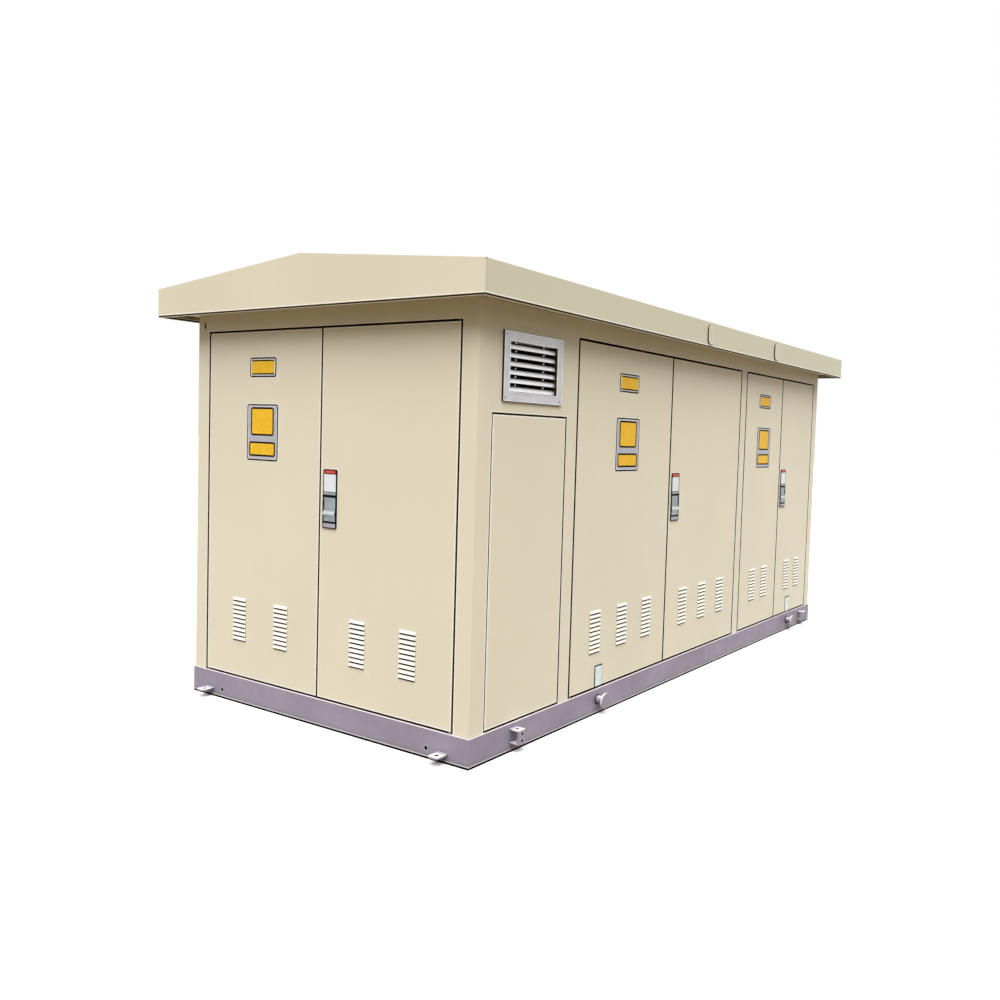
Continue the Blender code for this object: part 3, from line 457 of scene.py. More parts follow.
def powder_coat(name, light, dark, slope_highlight, dust_and_painted_light, painted_shade, long_side_tone=None, gloss=0.5):
    """Sprayed and baked paint: shade drift, streaks, orange peel, dusty tops and painted light.

    The long side tone, where one is given, darkens the long sides.
    """
    coat = Finish(name, 0.42, gloss=gloss)
    shade = coat.mix(coat.patches(0.9, 2.0, 0.3, 0.7), light, dark)
    streaks = coat.patches(9.0, 4.0, 0.35, 0.75, 0.35, (1, 1, 0.05))
    shade = coat.mix(streaks, shade, dark)
    # Darker on the faces that look along Y, where a long side tone is given
    if long_side_tone is not None:
        shade = coat.mix(coat.facing_sides(0.85), shade, long_side_tone)
    # Painted highlight on slopes that look up, such as the vent hoods
    shade = coat.mix(coat.facing_up(0.25, 0.42, 0.95), shade, slope_highlight)
    # Dusty, darker tone on faces that look up, which also paints shade on the brightly lit tops
    shade = coat.mix(coat.facing_up(0.8, 0.97, 1.0), shade, dust_and_painted_light)
    # Painted shade in hollows, seams and vent mouths
    shade = coat.mix(coat.crevice_shade(0.008, 0.9), shade, painted_shade)
    sag, peel = coat.noise(2.6, 1.0), coat.noise(260.0, 2.0)
    return coat.done(shade, coat.uneven(coat.noise(14.0), 0.05, 0.07),
                     (sag, 0.004, 0.35), (peel, 0.0002, 0.5))


def base_coat(name, light, dark, specks, dust_and_painted_light, painted_shade):
    """Brushed primer over hot-rolled channel: blotches, specks, dusty tops, painted light, shade.
    """
    coat = Finish(name, 0.55)
    shade = coat.mix(coat.patches(3.5, 5.0, 0.35, 0.65), light, dark)
    shade = coat.mix(coat.patches(90.0, 2.0, 0.66, 0.76, 0.35), shade, specks)
    # Pale bands along the edges of the base: painted highlights
    for low, high in BASE_HIGHLIGHT_BANDS:
        shade = coat.mix(coat.height_band(low, high, BAND_BLUR), shade, dust_and_painted_light)
    # Pale, dusty tone on faces that look up, which also paints their highlights
    shade = coat.mix(coat.facing_up(0.45, 0.9, 1.0), shade, dust_and_painted_light)
    # Painted shade in hollows, under the tabs and inside the brackets
    shade = coat.mix(coat.crevice_shade(0.055, 0.85), shade, painted_shade)
    # Painted shadow line along the foot, where the base meets the ground
    shade = coat.mix(coat.height_band(-1.0, BASE_SHADOW_LINE_TOP, BAND_BLUR), shade, painted_shade)
    strokes, grit = coat.noise(40.0, 4.0, (0.25, 0.25, 1)), coat.noise(330.0, 2.0)
    return coat.done(shade, coat.uneven(coat.noise(22.0), 0.09, 0.11),
                     (strokes, 0.0008, 0.5), (grit, 0.0003, 0.5))


def brushed_metal(name, light, dark, stretch, metallic, roughness):
    """Metal with fine grinding lines, cloudy oxide and painted shade in its corners."""
    coat = Finish(name, roughness, metallic)
    lines = coat.noise(500.0, 2.0, stretch)
    shade = coat.mix(coat.patches(18.0, 3.0, 0.35, 0.7), light, dark)
    shade = coat.mix(coat.crevice_shade(0.006, 0.8), shade, METAL_CREVICE_SHADE)
    return coat.done(shade, coat.uneven(lines, 0.07, 0.1), (lines, 0.0001, 0.6))


def galvanised(name, light, dark):
    """Zinc with its crystal pattern."""
    coat = Finish(name, 0.5, 0.6)
    cells = coat.node("ShaderNodeTexVoronoi", {"Scale": 70.0, "Vector": coat.coordinates})
    tint = coat.node("ShaderNodeSeparateColor", {"Color": cells["Color"]})
    return coat.done(coat.mix(tint["Red"], light, dark),
                     coat.remap(tint["Green"], 0.0, 1.0, 0.38, 0.6),
                     (coat.noise(60.0), 0.0003, 0.4))


def print_ink(name, light, dark, roughness=0.35, grain=420.0, gloss=0.5):
    """Screen-printed ink, film or rubber: slightly uneven in shade and gloss."""
    coat = Finish(name, roughness, gloss=gloss)
    shade = coat.mix(coat.patches(30.0, 4.0, 0.35, 0.65), light, dark)
    return coat.done(shade, coat.uneven(coat.noise(70.0), 0.05, 0.1),
                     (coat.noise(grain, 2.0), 0.0001, 0.4))


# Heights of the painted highlights on the edges of the base and of the painted shadow at its foot
BASE_HIGHLIGHT_BANDS = ((0.011, 0.0155), (0.1395, 0.142))
BASE_SHADOW_LINE_TOP = 0.0085
BAND_BLUR = 0.0012

# Light and dark shade of the cream paint, the painted highlight of its slopes,
# a dusty tone of its tops that also paints shade there, and the painted shade of hollows
CREAM = ((0.795, 0.742, 0.585), (0.755, 0.702, 0.55), (0.93, 0.905, 0.83),
         (0.53, 0.49, 0.39), (0.04, 0.028, 0.014))

# Metals: name, light and dark shade, stretch of the grinding lines, metallic, roughness
# Painted shade in the corners of the metals
METAL_CREVICE_SHADE = (0.03, 0.03, 0.03)
LEVEL = (0.03, 0.03, 1)
UPRIGHT = (1, 1, 0.04)
METALS = {
    "aluminium": ("louvre_aluminium", (0.84, 0.85, 0.86), (0.74, 0.75, 0.78), LEVEL, 0.55, 0.38),
    # A darker copy of the louvre's aluminium, painting shade on the frame's face
    "aluminium_shaded": ("louvre_shaded_aluminium", (0.58, 0.58, 0.605), (0.49, 0.49, 0.515),
                       LEVEL, 0.45, 0.42),
    "lock": ("lock_alloy", (0.3, 0.345, 0.37), (0.225, 0.265, 0.29), UPRIGHT, 0.35, 0.36),
    # A lighter copy of the lock alloy: painted highlights on the lever's lip, the top rim and a dot
    "lock_highlight": ("lock_alloy_highlight", (0.56, 0.61, 0.65), (0.48, 0.53, 0.57), UPRIGHT, 0.3, 0.3),
    "sign": ("sign_plate_metal", (0.44, 0.435, 0.49), (0.38, 0.378, 0.425), LEVEL, 0.3, 0.35),
    "screw": ("screw_steel", (0.2, 0.19, 0.19), (0.12, 0.11, 0.11), (1, 1, 1), 0.8, 0.4),
}

# Inks, films and rubbers: name, light and dark shade, roughness, scale of the grain, gloss
INKS = {
    # Painted highlights along folds, beads and rims
    "edge": ("cream_painted_highlight", (0.955, 0.938, 0.872), (0.925, 0.9, 0.82), 0.35, 260.0),
    "joint": ("joint_sealant", (0.56, 0.5, 0.25), (0.46, 0.41, 0.2), 0.5, 260.0),
    # Painted highlights on the base: its bead and the rims of holes and discs
    "base_highlight": ("base_painted_highlight", (0.92, 0.89, 0.93), (0.84, 0.8, 0.85), 0.45, 180.0),
    "lock_sill": ("lock_sill_coat", (0.43, 0.41, 0.48), (0.36, 0.34, 0.4), 0.4),
    "lock_black": ("lock_housing", (0.01, 0.01, 0.012), (0.006, 0.006, 0.007), 0.7, 420.0, 0.05),
    "line": ("sign_line_ink", (0.01, 0.011, 0.015), (0.006, 0.007, 0.009), 0.7, 420.0, 0.0),
    "border": ("sign_border_ink", (0.86, 0.87, 0.88), (0.76, 0.77, 0.79)),
    "yellow": ("sign_field_ink", (0.93, 0.565, 0.02), (0.88, 0.5, 0.014), 0.4, 420.0, 0.25),
    "card": ("lock_card_film", (0.82, 0.87, 0.94), (0.76, 0.81, 0.88), 0.3),
    "red": ("lock_card_band", (0.23, 0.008, 0.006), (0.185, 0.007, 0.005), 0.4, 420.0, 0.25),
    "red_light": ("lock_card_band_middle", (0.74, 0.105, 0.05), (0.66, 0.08, 0.04),
                  0.4, 420.0, 0.25),
    "sticker": ("sticker_film", (0.78, 0.9, 0.93), (0.7, 0.82, 0.86), 0.3),
    "sticker_line": ("sticker_edge", (0.04, 0.05, 0.042), (0.026, 0.032, 0.027), 0.7, 420.0, 0.0),
    # Painted shadow under the vent mouths
    "vent_mark": ("vent_painted_shadow", (0.036, 0.028, 0.016), (0.024, 0.019, 0.011), 0.7, 260.0, 0.0),
    # Seals and dark films, which also paint the shade of seams, gaps, holes and proud edges
    "rubber": ("seal_rubber", (0.048, 0.028, 0.009), (0.028, 0.016, 0.006), 0.85, 260.0, 0.0),
    # Painted shadow under the fascias
    "drip": ("drip_rubber", (0.06, 0.042, 0.018), (0.04, 0.028, 0.012), 0.85, 260.0, 0.0),
    # A black painted shadow line along the foot of the base
    "tar": ("foot_tar", (0.006, 0.005, 0.006), (0.003, 0.003, 0.003), 0.85, 120.0, 0.0),
}

materials = {
    "cream": powder_coat("cream_powder_coat", *CREAM),
    "roof": powder_coat("roof_powder_coat", *CREAM, long_side_tone=(0.66, 0.642, 0.5), gloss=0.12),
    "base": base_coat("base_primer", (0.322, 0.28, 0.372), (0.27, 0.233, 0.308),
                      (0.45, 0.41, 0.44), (0.88, 0.84, 0.89), (0.01, 0.008, 0.009)),
    "floor": galvanised("floor_zinc", (0.42, 0.43, 0.45), (0.3, 0.31, 0.33)),
}
materials.update((key, brushed_metal(*values)) for key, values in METALS.items())
materials.update((key, print_ink(*values)) for key, values in INKS.items())
SLOT_FINISH = {
    "cream_paint": "cream",
    "base_paint": "base",
    "floor_steel": "floor",
    "aluminium": "aluminium",
    "lock_grey": "lock",
}


def dress_cad_nodes():
    for node in frame["nodes"].values():
        for slot in node.material_slots:
            finish = SLOT_FINISH[slot.material.name.split(".")[0]]
            if node.name.startswith("roof") and finish == "cream":
                finish = "roof"
            slot.material = materials[finish]


# Making pieces


def add_object(name, data):
    made = bpy.data.objects.new(name, data)
    scene.collection.objects.link(made)
    return made


def finish_piece(name, bm, finishes, side=None, body="housing"):
    """Turn a mesh under construction into a piece that rides on a body."""
    if side is not None:
        bm.transform(wall_matrix(side))
    bmesh.ops.recalc_face_normals(bm, faces=bm.faces)
    mesh = bpy.data.meshes.new(name)
    bm.to_mesh(mesh)
    bm.free()
    mesh.shade_smooth()
    mesh.set_sharp_from_angle(angle=SHARP_ANGLE)
    for key in finishes:
        mesh.materials.append(materials[key])
    piece = add_object(name, mesh)
    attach(piece, body)
    return piece


def add_loft(bm, rings, finish=0, closed=False):
    """Skin rings of equal point count, either closed into a loop or with flat ends."""
    made = [[bm.verts.new(point) for point in ring] for ring in rings]
    pairs = list(zip(made, made[1:]))
    faces = []
    if closed:
        pairs.append((made[-1], made[0]))
    else:
        faces = [bm.faces.new(made[0]), bm.faces.new(made[-1])]
    for first, second in pairs:
        for i in range(len(first)):
            j = (i + 1) % len(first)
            faces.append(bm.faces.new((first[i], first[j], second[j], second[i])))
    for face in faces:
        face.material_index = finish
    return faces


def add_upright(bm, outline, low, high, finish=0):
    """Extrude an outline of (u, d) points between two heights."""
    add_loft(bm, [[(u, d, z) for u, d in outline] for z in (low, high)], finish)


def add_along(bm, outline, start, end, finish=0):
    """Extrude an outline of (d, z) points along the wall."""
    add_loft(bm, [[(u, d, z) for d, z in outline] for u in (start, end)], finish)


def rect(low, high):
    return [low, (high[0], low[1]), high, (low[0], high[1])]


def inner_rect(low, high, inset):
    return rect((low[0] + inset, low[1] + inset), (high[0] - inset, high[1] - inset))


def add_frame(bm, low, high, profile, finish=0):
    """A closed frame round a rectangle of a wall; profile holds (inset, depth) points."""
    rings = [[(u, d, z) for u, z in inner_rect(low, high, inset)] for inset, d in profile]
    add_loft(bm, rings, finish, closed=True)


def add_girdle(bm, profile, finish=0):
    """A closed ring round the whole building; profile holds (outset from the walls, z) points."""
    rings = [[(x, y, z) for x, y in inner_rect(WALL_LOW, WALL_HIGH, -outset)]
             for outset, z in profile]
    add_loft(bm, rings, finish, closed=True)


def shrunk(size, inset):
    """Width and height less an inset on every side."""
    return [length - 2 * inset for length in size]


def rounded_rect(size, radius, foot_radius=None):
    """Outline of a rectangle with rounded corners about the origin."""
    foot_radius = radius if foot_radius is None else foot_radius
    points = []
    for sx, sy, first in ((1, 1, 0), (-1, 1, 90), (-1, -1, 180), (1, -1, 270)):
        r = radius if sy > 0 else foot_radius
        for i in range(CORNER_STEPS + 1):
            angle = radians(first + 90 * i / CORNER_STEPS)
            points.append((sx * (size[0] / 2 - r) + r * cos(angle),
                           sy * (size[1] / 2 - r) + r * sin(angle)))
    after = points[1:] + points[:1]
    return [point for point, other in zip(points, after) if dist(point, other) > SAME_POINT]


def add_hoop(bm, size, radius, centre, profile, finish=0):
    """A closed frame with rounded corners; profile holds (inset, depth) points."""
    rings = []
    for inset, d in profile:
        outline = rounded_rect(shrunk(size, inset), max(radius - inset, radius * LEAST_CORNER))
        rings.append([(centre[0] + u, d, centre[1] + z) for u, z in outline])
    add_loft(bm, rings, finish, closed=True)


def add_layer(bm, size, radius, centre, back, front, finish=0, edge=0.0, foot_radius=None):
    """A flat layer with rounded corners on a wall; edge narrows its front face to a chamfer."""
    outline = rounded_rect(size, radius, foot_radius)
    sections = [(back, 0.0), (front + edge, 0.0)]
    if edge > 0:
        sections.append((front, edge))
    rings = []
    for d, inset in sections:
        narrower, lower = (1 - 2 * inset / length for length in size)
        rings.append([(centre[0] + u * narrower, d, centre[1] + z * lower) for u, z in outline])
    add_loft(bm, rings, finish)


def axis_matrix(centre, axis):
    """Local Z along the axis, from the centre outwards."""
    matrix = Vector(axis).to_track_quat("Z", "Y").to_matrix().to_4x4()
    matrix.translation = Vector(centre)
    return matrix


def add_turned(bm, profile, matrix, sides, finish=0, closed=False):
    """Turn (radius, height) points about local Z; closed joins the last point to the first."""
    rings = []
    for radius, height in profile:
        ring = []
        for i in range(sides):
            angle = 2 * pi * i / sides
            ring.append(matrix @ Vector((radius * cos(angle), radius * sin(angle), height)))
        rings.append(ring)
    add_loft(bm, rings, finish, closed)


# Seals, bright edges and beads


def notched(start, end, front, back, pins, span):
    """Plan of a strip between two edges of a bay, kept off the hinge pins at its ends."""
    if not pins:
        return rect((start, front), (end, back))
    left = start + PIN_NOTCH
    right = end - PIN_NOTCH
    return [(start, front), (end, front), (end, span[0]), (right, span[0]), (right, span[1]),
            (end, span[1]), (end, back), (start, back), (start, span[1]), (left, span[1]),
            (left, span[0]), (start, span[0])]


def return_seal(edge, inward):
    """Plan of the seal on the return of a post: a thin web, then a bulb on the stop."""
    points = [(0, SEAL_FRONT), (SEAL, SEAL_FRONT)]
    half = SEAL_BULB_WIDTH / 2
    for i in range(SEAL_BULB_STEPS + 1):
        angle = pi * (1 - i / SEAL_BULB_STEPS)
        points.append((SEAL + half + half * cos(angle), STOP_DEPTH - SEAL_BULB * sin(angle)))
    points.append((0, STOP_DEPTH))
    return [(edge + inward * u, d) for u, d in points]


def bay_seal(name, side, leaves, start, end, top):
    """Dark seal profile round a bay, on the housing, which also paints the shade of its seams."""
    pins = len(leaves) > 1
    back = STOP_DEPTH - SEAL_FRONT
    foot = BASE_TOP + SILL_SEAL
    bm = bmesh.new()
    for edge, inward in ((start, 1), (end, -1)):
        add_upright(bm, return_seal(edge, inward), foot, top - SEAL)
    add_upright(bm, notched(start, end, SEAL_FRONT, back, pins, HEAD_PIN_SPAN), top - SEAL, top)
    add_upright(bm, notched(start, end, SILL_SEAL_FRONT, back, pins, SILL_PIN_SPAN), BASE_TOP, foot)
    finish_piece("seal_" + name, bm, ("rubber",), side=side)


def bay_edges(name, side, leaves, start, end, top):
    """Seal lip on the posts, mullions and head round a bay, and the painted highlights beyond."""
    foot = BASE_TOP + BEAD_HEIGHT
    head = top + HEAD_LIP
    width = POST_LIP if len(leaves) > 1 else PANEL_LIP
    bm = bmesh.new()
    for edge, outward in ((start, -1), (end, 1)):
        # A dark film on the face beside the seam, a painted shade, then the painted highlight
        lip = edge + outward * width
        add_upright(bm, rect((lip, -2 * FILM), (edge - outward * FILM, SEAL_FRONT)),
                    foot, head, 0)
        add_upright(bm, rect((lip + outward * EDGE_WIDTH, -FILM), (lip, FILM)),
                    foot, head + EDGE_WIDTH, 1)
    add_along(bm, rect((-2 * FILM, top - FILM), (SEAL_FRONT, head)), start, end, 0)
    add_along(bm, rect((-FILM, head), (FILM, head + EDGE_WIDTH)),
              start - width, end + width, 1)
    finish_piece("edge_bay_" + name, bm, ("rubber", "edge"), side)


def leaf_trim(side, node):
    """Painted highlight round a leaf or panel, and the seal from there to the end of its return.

    They meet at the lap, which lies on the chamfer of the edge or on the face inside it.
    """
    low, high = leaf_corners(side, node)
    fold, inside = CHAMFER - FILM, CHAMFER + FILM
    land = CHAMFER + EDGE_WIDTH
    lap = [reach for key, reach in SEAL_LAPS.items() if key in node][0]
    if lap < CHAMFER:
        over = (lap - FILM, CHAMFER - lap - FILM)
        under = (lap + FILM, CHAMFER - lap + FILM)
        bright = ((land, -FILM), (fold, -FILM), over, under, (inside, FILM), (land, FILM))
        start, end = (under, over), ()
    else:
        over, under = (lap, -FILM), (lap, FILM)
        bright = ((land, -FILM), over, under, (land, FILM))
        start, end = (under, over, (fold, -FILM)), ((inside, FILM),)
    # The dark seal runs over the chamfer and down the return, painting the shade of the seam
    dark = (*start, (-FILM, fold), (-SEAL, LEAF_SEAL_START), (-SEAL, LEAF_SEAL_END - SEAL / 2),
            (FILM, LEAF_SEAL_END), (FILM, inside), *end)
    for name, profile, finish, slot in (("edge_", bright, "edge", "cream_paint"),
                                        ("strip_", dark, "rubber", None)):
        bm = bmesh.new()
        add_frame(bm, low, high, profile)
        finish_piece(name + node, bm, (finish,), side, BODY_OF[node])


def vent_marks(side, node):
    """Painted shadow under the mouth of every pressed vent of a leaf."""
    columns = [places for key, places in VENT_COLUMNS.items() if key in node][0]
    (start, foot), (end, _) = leaf_corners(side, node)
    bm = bmesh.new()
    for offset in columns:
        left = (start + end - VENT_WIDTH) / 2 + offset
        for row in range(VENT_ROWS):
            mouth = foot + VENT_RISE + row * VENT_PITCH - VENT_MOUTH
            low = mouth - (VENT_PITCH - VENT_HEIGHT - VENT_MOUTH)
            outline = rect((-FILM, low + FILM), (FILM, mouth + VENT_MARK_LIFT))
            add_along(bm, outline, left + FILM, left + VENT_WIDTH - FILM)
    finish_piece("vent_marks_" + node, bm, ("vent_mark",), side, BODY_OF[node])


def base_bead():
    """A pale rounded bead along the ledge between the base and the walls: a painted highlight."""
    low = BASE_TOP - FILM
    high = BASE_TOP + BEAD_HEIGHT
    bm = bmesh.new()
    add_girdle(bm, ((BEAD_START, low), (BEAD_END, low), (BEAD_END, high - BEAD_ROUND),
                    (BEAD_END - BEAD_ROUND, high), (BEAD_START + BEAD_ROUND, high),
                    (BEAD_START, high - BEAD_ROUND)))
    finish_piece("base_bead", bm, ("base_highlight",))


def base_foot_shadow():
    """A black painted shadow line along the foot of the base."""
    low, high = FOOT_SHADOW_LINE
    bm = bmesh.new()
    add_girdle(bm, rect((BASE_LEDGE - FILM, low), (BASE_LEDGE + FILM, high)))
    finish_piece("base_foot_shadow", bm, ("tar",))


def drip_seal():
    """A dark seal under the bright lower fold of the fascias, held by a thin cream strip."""
    # The seal paints the shadow under the fascias, the fold their highlight
    outer = OVERHANG - DRIP_INSET
    inner = outer - DRIP_WIDTH
    foot = EAVES - DRIP_DROP
    face = OVERHANG + FILM
    bm = bmesh.new()
    for finish, (low, high) in enumerate((
        ((inner, foot), (outer, EAVES)),
        ((inner - DRIP_LIP_STEP, foot - DRIP_LIP), (outer - DRIP_LIP_STEP, foot)),
        ((face - 2 * FILM, EAVES - FILM), (face, EAVES + DRIP_FOLD)),
    )):
        add_girdle(bm, rect(low, high), finish)
    finish_piece("drip_seal", bm, ("drip", "cream", "edge"))


def roof_covers(side):
    """Proud covers over the lifting tabs of the roof, each in a dark seal with a bright fold."""
    # The dark seal paints the shade beside each cover, the bright fold its highlight
    root = FILM - OVERHANG
    front = -OVERHANG - COVER_PROUD
    inner = shrunk(COVER_SIZE, COVER_SEAL)
    corner = COVER_CORNER - COVER_SEAL
    bm = bmesh.new()
    for x in COVER_OFFSETS:
        centre = (x - WALL_LOW.x, EAVES + COVER_FOOT + COVER_SIZE[1] / 2)
        add_hoop(bm, COVER_SIZE, COVER_CORNER, centre, rect((0, front), (COVER_SEAL, root)), 0)
        add_layer(bm, inner, corner, centre, root, front + FILM, 1)
        fold = rect((0, front), (COVER_FOLD, front + COVER_PROUD / 2))
        add_hoop(bm, inner, corner, centre, fold, 2)
    finish_piece("roof_covers_" + side, bm, ("rubber", "roof", "edge"), side)


def roof_joints():
    """Sealant over the joints of the roof cover, on the long fascias beside each corner."""
    top = EAVES + FASCIA_HEIGHT
    face = -OVERHANG
    front = face - JOINT_PROUD
    far_corner = WALL_HIGH.x - WALL_LOW.x + OVERHANG
    bm = bmesh.new()
    for side in ("front", "back"):
        placed = len(bm.verts)
        for corner, inward in ((-OVERHANG, 1), (far_corner, -1)):
            near = corner + inward * JOINT_SETBACK
            outline = rect((near, front), (near + inward * JOINT_WIDTH, face))
            add_upright(bm, outline, EAVES + JOINT_WIDTH, top - RELIEF_RADIUS)
            centre = (corner + inward * RELIEF_SETBACK, top - RELIEF_SETBACK)
            size = (2 * RELIEF_RADIUS, 2 * RELIEF_RADIUS)
            add_layer(bm, size, RELIEF_RADIUS, centre, face, front, 1)
        bmesh.ops.transform(bm, matrix=wall_matrix(side), verts=list(bm.verts)[placed:])
    finish_piece("roof_joints", bm, ("joint", "rubber"))


# Signs, cards and stickers


def add_bead(bm, size, corner, centre, width, finish):
    """A thin pale bead on a leaf round something fixed to it; in edge ink, a painted highlight."""
    add_hoop(bm, shrunk(size, -width), corner + width, centre,
             ((0, FILM), (0, -FILM), (width + FILM, -2 * FILM), (width + FILM, FILM)), finish)


def add_plate(name, side, node, height, size, prints):
    """A plate on a leaf, with a dark edge, its prints and a pale bead round it, a painted
    highlight.

    A print has its size, corner, lift from the middle, back, steps that it stands out, finish.
    """
    middle = sum(wall_range(side, node)) / 2
    front = -PLATE_THICKNESS
    bm = bmesh.new()
    add_layer(bm, size, PLATE_CORNER, (middle, height), -LAYER, front, 1, LAYER)
    for field, corner, lift, back, steps, finish in prints:
        add_layer(bm, field, corner, (middle, height + lift), back, front - steps * LAYER, finish)
    add_bead(bm, size, PLATE_CORNER, (middle, height), PLATE_BEAD, 4)
    finish_piece(name + node, bm, ("sign", "line", "border", "yellow", "edge"),
                 side, BODY_OF[node])


def border_print(size, inset, steps, finish):
    return (shrunk(size, inset), PLATE_CORNER - inset, 0.0, -LAYER, steps, finish)


def sign_plate(side, node):
    """The large plate of a leaf: two yellow fields inside dark lines, left bare."""
    prints = [border_print(PLATE_SIZE, PLATE_LINE, 1, 2),
              border_print(PLATE_SIZE, PLATE_LINE + PLATE_BORDER, 2, 0)]
    face = -PLATE_THICKNESS - 2 * LAYER
    for size, lift in SIGN_FIELDS:
        prints.append((size, FIELD_CORNER, lift, face, 3, 1))
        prints.append((shrunk(size, FIELD_LINE), FIELD_CORNER - FIELD_LINE, lift, face, 4, 3))
    add_plate("sign_plate_", side, node, PLATE_HEIGHT, PLATE_SIZE, prints)


def name_plate(side, node):
    """The small plate over the large one: a bare yellow field in a pale border."""
    width, height = NAME_FIELD
    prints = [border_print(NAME_PLATE_SIZE, PLATE_LINE, 1, 2),
              (NAME_FIELD, NAME_CORNER, 0.0, -LAYER, 2, 1),
              ((width, height - 2 * NAME_LINE_HEIGHT), NAME_CORNER, 0.0, -LAYER, 3, 3)]
    add_plate("name_plate_", side, node, NAME_PLATE_HEIGHT, NAME_PLATE_SIZE, prints)


def sticker(side, body, middle, size, foot):
    """A bare sticker with a dark margin at its left and top, and a thin one at its right."""
    centre = (middle, foot + size[1] / 2)
    left, top = STICKER_MARGIN
    inner = (size[0] - left - STICKER_LINE, size[1] - top - STICKER_LINE)
    inner_centre = (centre[0] + (left - STICKER_LINE) / 2, centre[1] - (top - STICKER_LINE) / 2)
    bm = bmesh.new()
    add_layer(bm, size, STICKER_LINE, centre, -LAYER, -2 * LAYER, 0)
    add_layer(bm, inner, STICKER_LINE / 2, inner_centre, -LAYER, -3 * LAYER, 1)
    finish_piece("sticker_" + body, bm, ("sticker_line", "sticker"), side, body)


# Locks


def lever_section(foot):
    """Section of the lever in (d, z): a dished face that flares into a rounded lip."""
    low, high = foot + LEVER_SPAN[0], foot + LEVER_SPAN[1]
    lip_top = foot + LEVER_LIP_TOP
    points = [(-LOCK_TRAY / 2, high)]
    for i in range(LEVER_STEPS + 1):
        t = i / LEVER_STEPS
        out = LEVER_FACE - LEVER_DISH * sin(pi * t) + LEVER_FLARE * t ** LEVER_FLARE_POWER
        points.append((-out, high + t * (lip_top - high)))
    reach = LEVER_FACE + LEVER_FLARE
    for i in range(1, LEVER_LIP_STEPS + 1):
        angle = pi / 2 * i / LEVER_LIP_STEPS
        points.append((-reach + (reach - LEVER_HEEL) * (1 - cos(angle)),
                       lip_top - LEVER_LIP_ROUND * sin(angle)))
    points.append((-LEVER_HEEL, low))
    points.append((-LOCK_TRAY / 2, low))
    return points


def add_lever(bm, start, end, foot):
    """The lever between its side gaps, its ends eased, with a painted highlight on its lip."""
    section = lever_section(foot)
    root = section[0][0]
    rings = []
    for u, share in ((start, LEVER_END_SHARE), (start + LEVER_END, 1.0),
                     (end - LEVER_END, 1.0), (end, LEVER_END_SHARE)):
        rings.append([(u, root + (d - root) * share, z) for d, z in section])
    lip = foot + LEVER_LIP_TOP
    # The lip takes the lighter copy of the alloy, a painted highlight
    for face in add_loft(bm, rings, 1):
        if abs(face.calc_center_median().z - lip) < LEVER_LIP_ROUND:
            face.material_index = 2


def add_card(bm, middle, width, foot):
    """The card over the lock: black housing, white film, red band with a lighter middle."""
    centre = (middle, foot + CARD_HEIGHT / 2)
    face = -CARD_PROUD
    inner = (width - 2 * CARD_SIDE, CARD_HEIGHT - 2 * CARD_FRAME)
    corner = CARD_CORNER - CARD_FRAME
    band_centre = (middle, foot + CARD_HEIGHT - CARD_FRAME - CARD_BAND / 2)
    band = (inner[0], CARD_BAND)
    add_layer(bm, (width, CARD_HEIGHT), CARD_CORNER, centre, -LAYER, face, 0, LOCK_EDGE, LAYER)
    for size, radius, place, steps, finish in (
        (inner, corner, centre, 1, 4),
        (band, corner, band_centre, 2, 5),
        (shrunk(band, CARD_BAND_EDGE), LAYER, band_centre, 3, 6),
    ):
        add_layer(bm, size, radius, place, face + LAYER, face - steps * LAYER, finish, 0.0, LAYER)


def lock_unit(side, node, with_card):
    """A flush lock: black housing, dull sill and top rim, dished lever, and its card."""
    start, end = wall_range(side, node)
    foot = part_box(node)[0].z
    middle = (start + end) / 2
    width = end - start
    centre = (middle, foot + LOCK_HEIGHT / 2)
    size = (width, LOCK_HEIGHT)
    back = -LOCK_TRAY / 2
    edge = LOCK_EDGE - LOCK_PROUD
    bm = bmesh.new()
    add_layer(bm, size, LOCK_CORNER, centre, -LAYER, -LOCK_TRAY, 0)
    add_hoop(bm, size, LOCK_CORNER, centre,
             ((LAYER, back), (0, back), (0, edge), (LOCK_EDGE, -LOCK_PROUD),
              (LOCK_SIDE - LOCK_EDGE, -LOCK_PROUD), (LOCK_SIDE, edge), (LOCK_SIDE, back)))
    # The top bar takes the lighter copy of the alloy, a painted highlight
    for low, high, finish in LOCK_BARS:
        add_layer(bm, (width - 2 * LOCK_SIDE, high - low), LOCK_EDGE,
                  (middle, foot + (low + high) / 2), back, -LOCK_BAR_PROUD, finish, LOCK_EDGE)
    add_lever(bm, start + LEVER_MARGIN, end - LEVER_MARGIN, foot)
    # A small dome in the lighter copy of the alloy, a painted glint
    dot_inset, dot_rise, dot_radius = LOCK_DOT
    add_turned(bm, ((dot_radius, 0), (dot_radius, LAYER), (dot_radius / 2, 3 * LAYER)),
               axis_matrix((start + dot_inset, -LOCK_BAR_PROUD, foot + dot_rise), (0, -1, 0)),
               SCREW_SIDES, 2)
    if with_card:
        add_card(bm, middle, width, foot + LOCK_HEIGHT)
    height = LOCK_HEIGHT + (CARD_HEIGHT if with_card else 0)
    # Pale bead round the lock, a painted highlight
    add_bead(bm, (width, height), LOCK_CORNER, (middle, foot + height / 2), LOCK_BEAD, 7)
    finishes = ("lock_black", "lock", "lock_highlight", "lock_sill", "card", "red", "red_light", "edge")
    piece = finish_piece("flush_" + node, bm, finishes, side, BODY_OF[node])
    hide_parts(node)


# Louvre windows


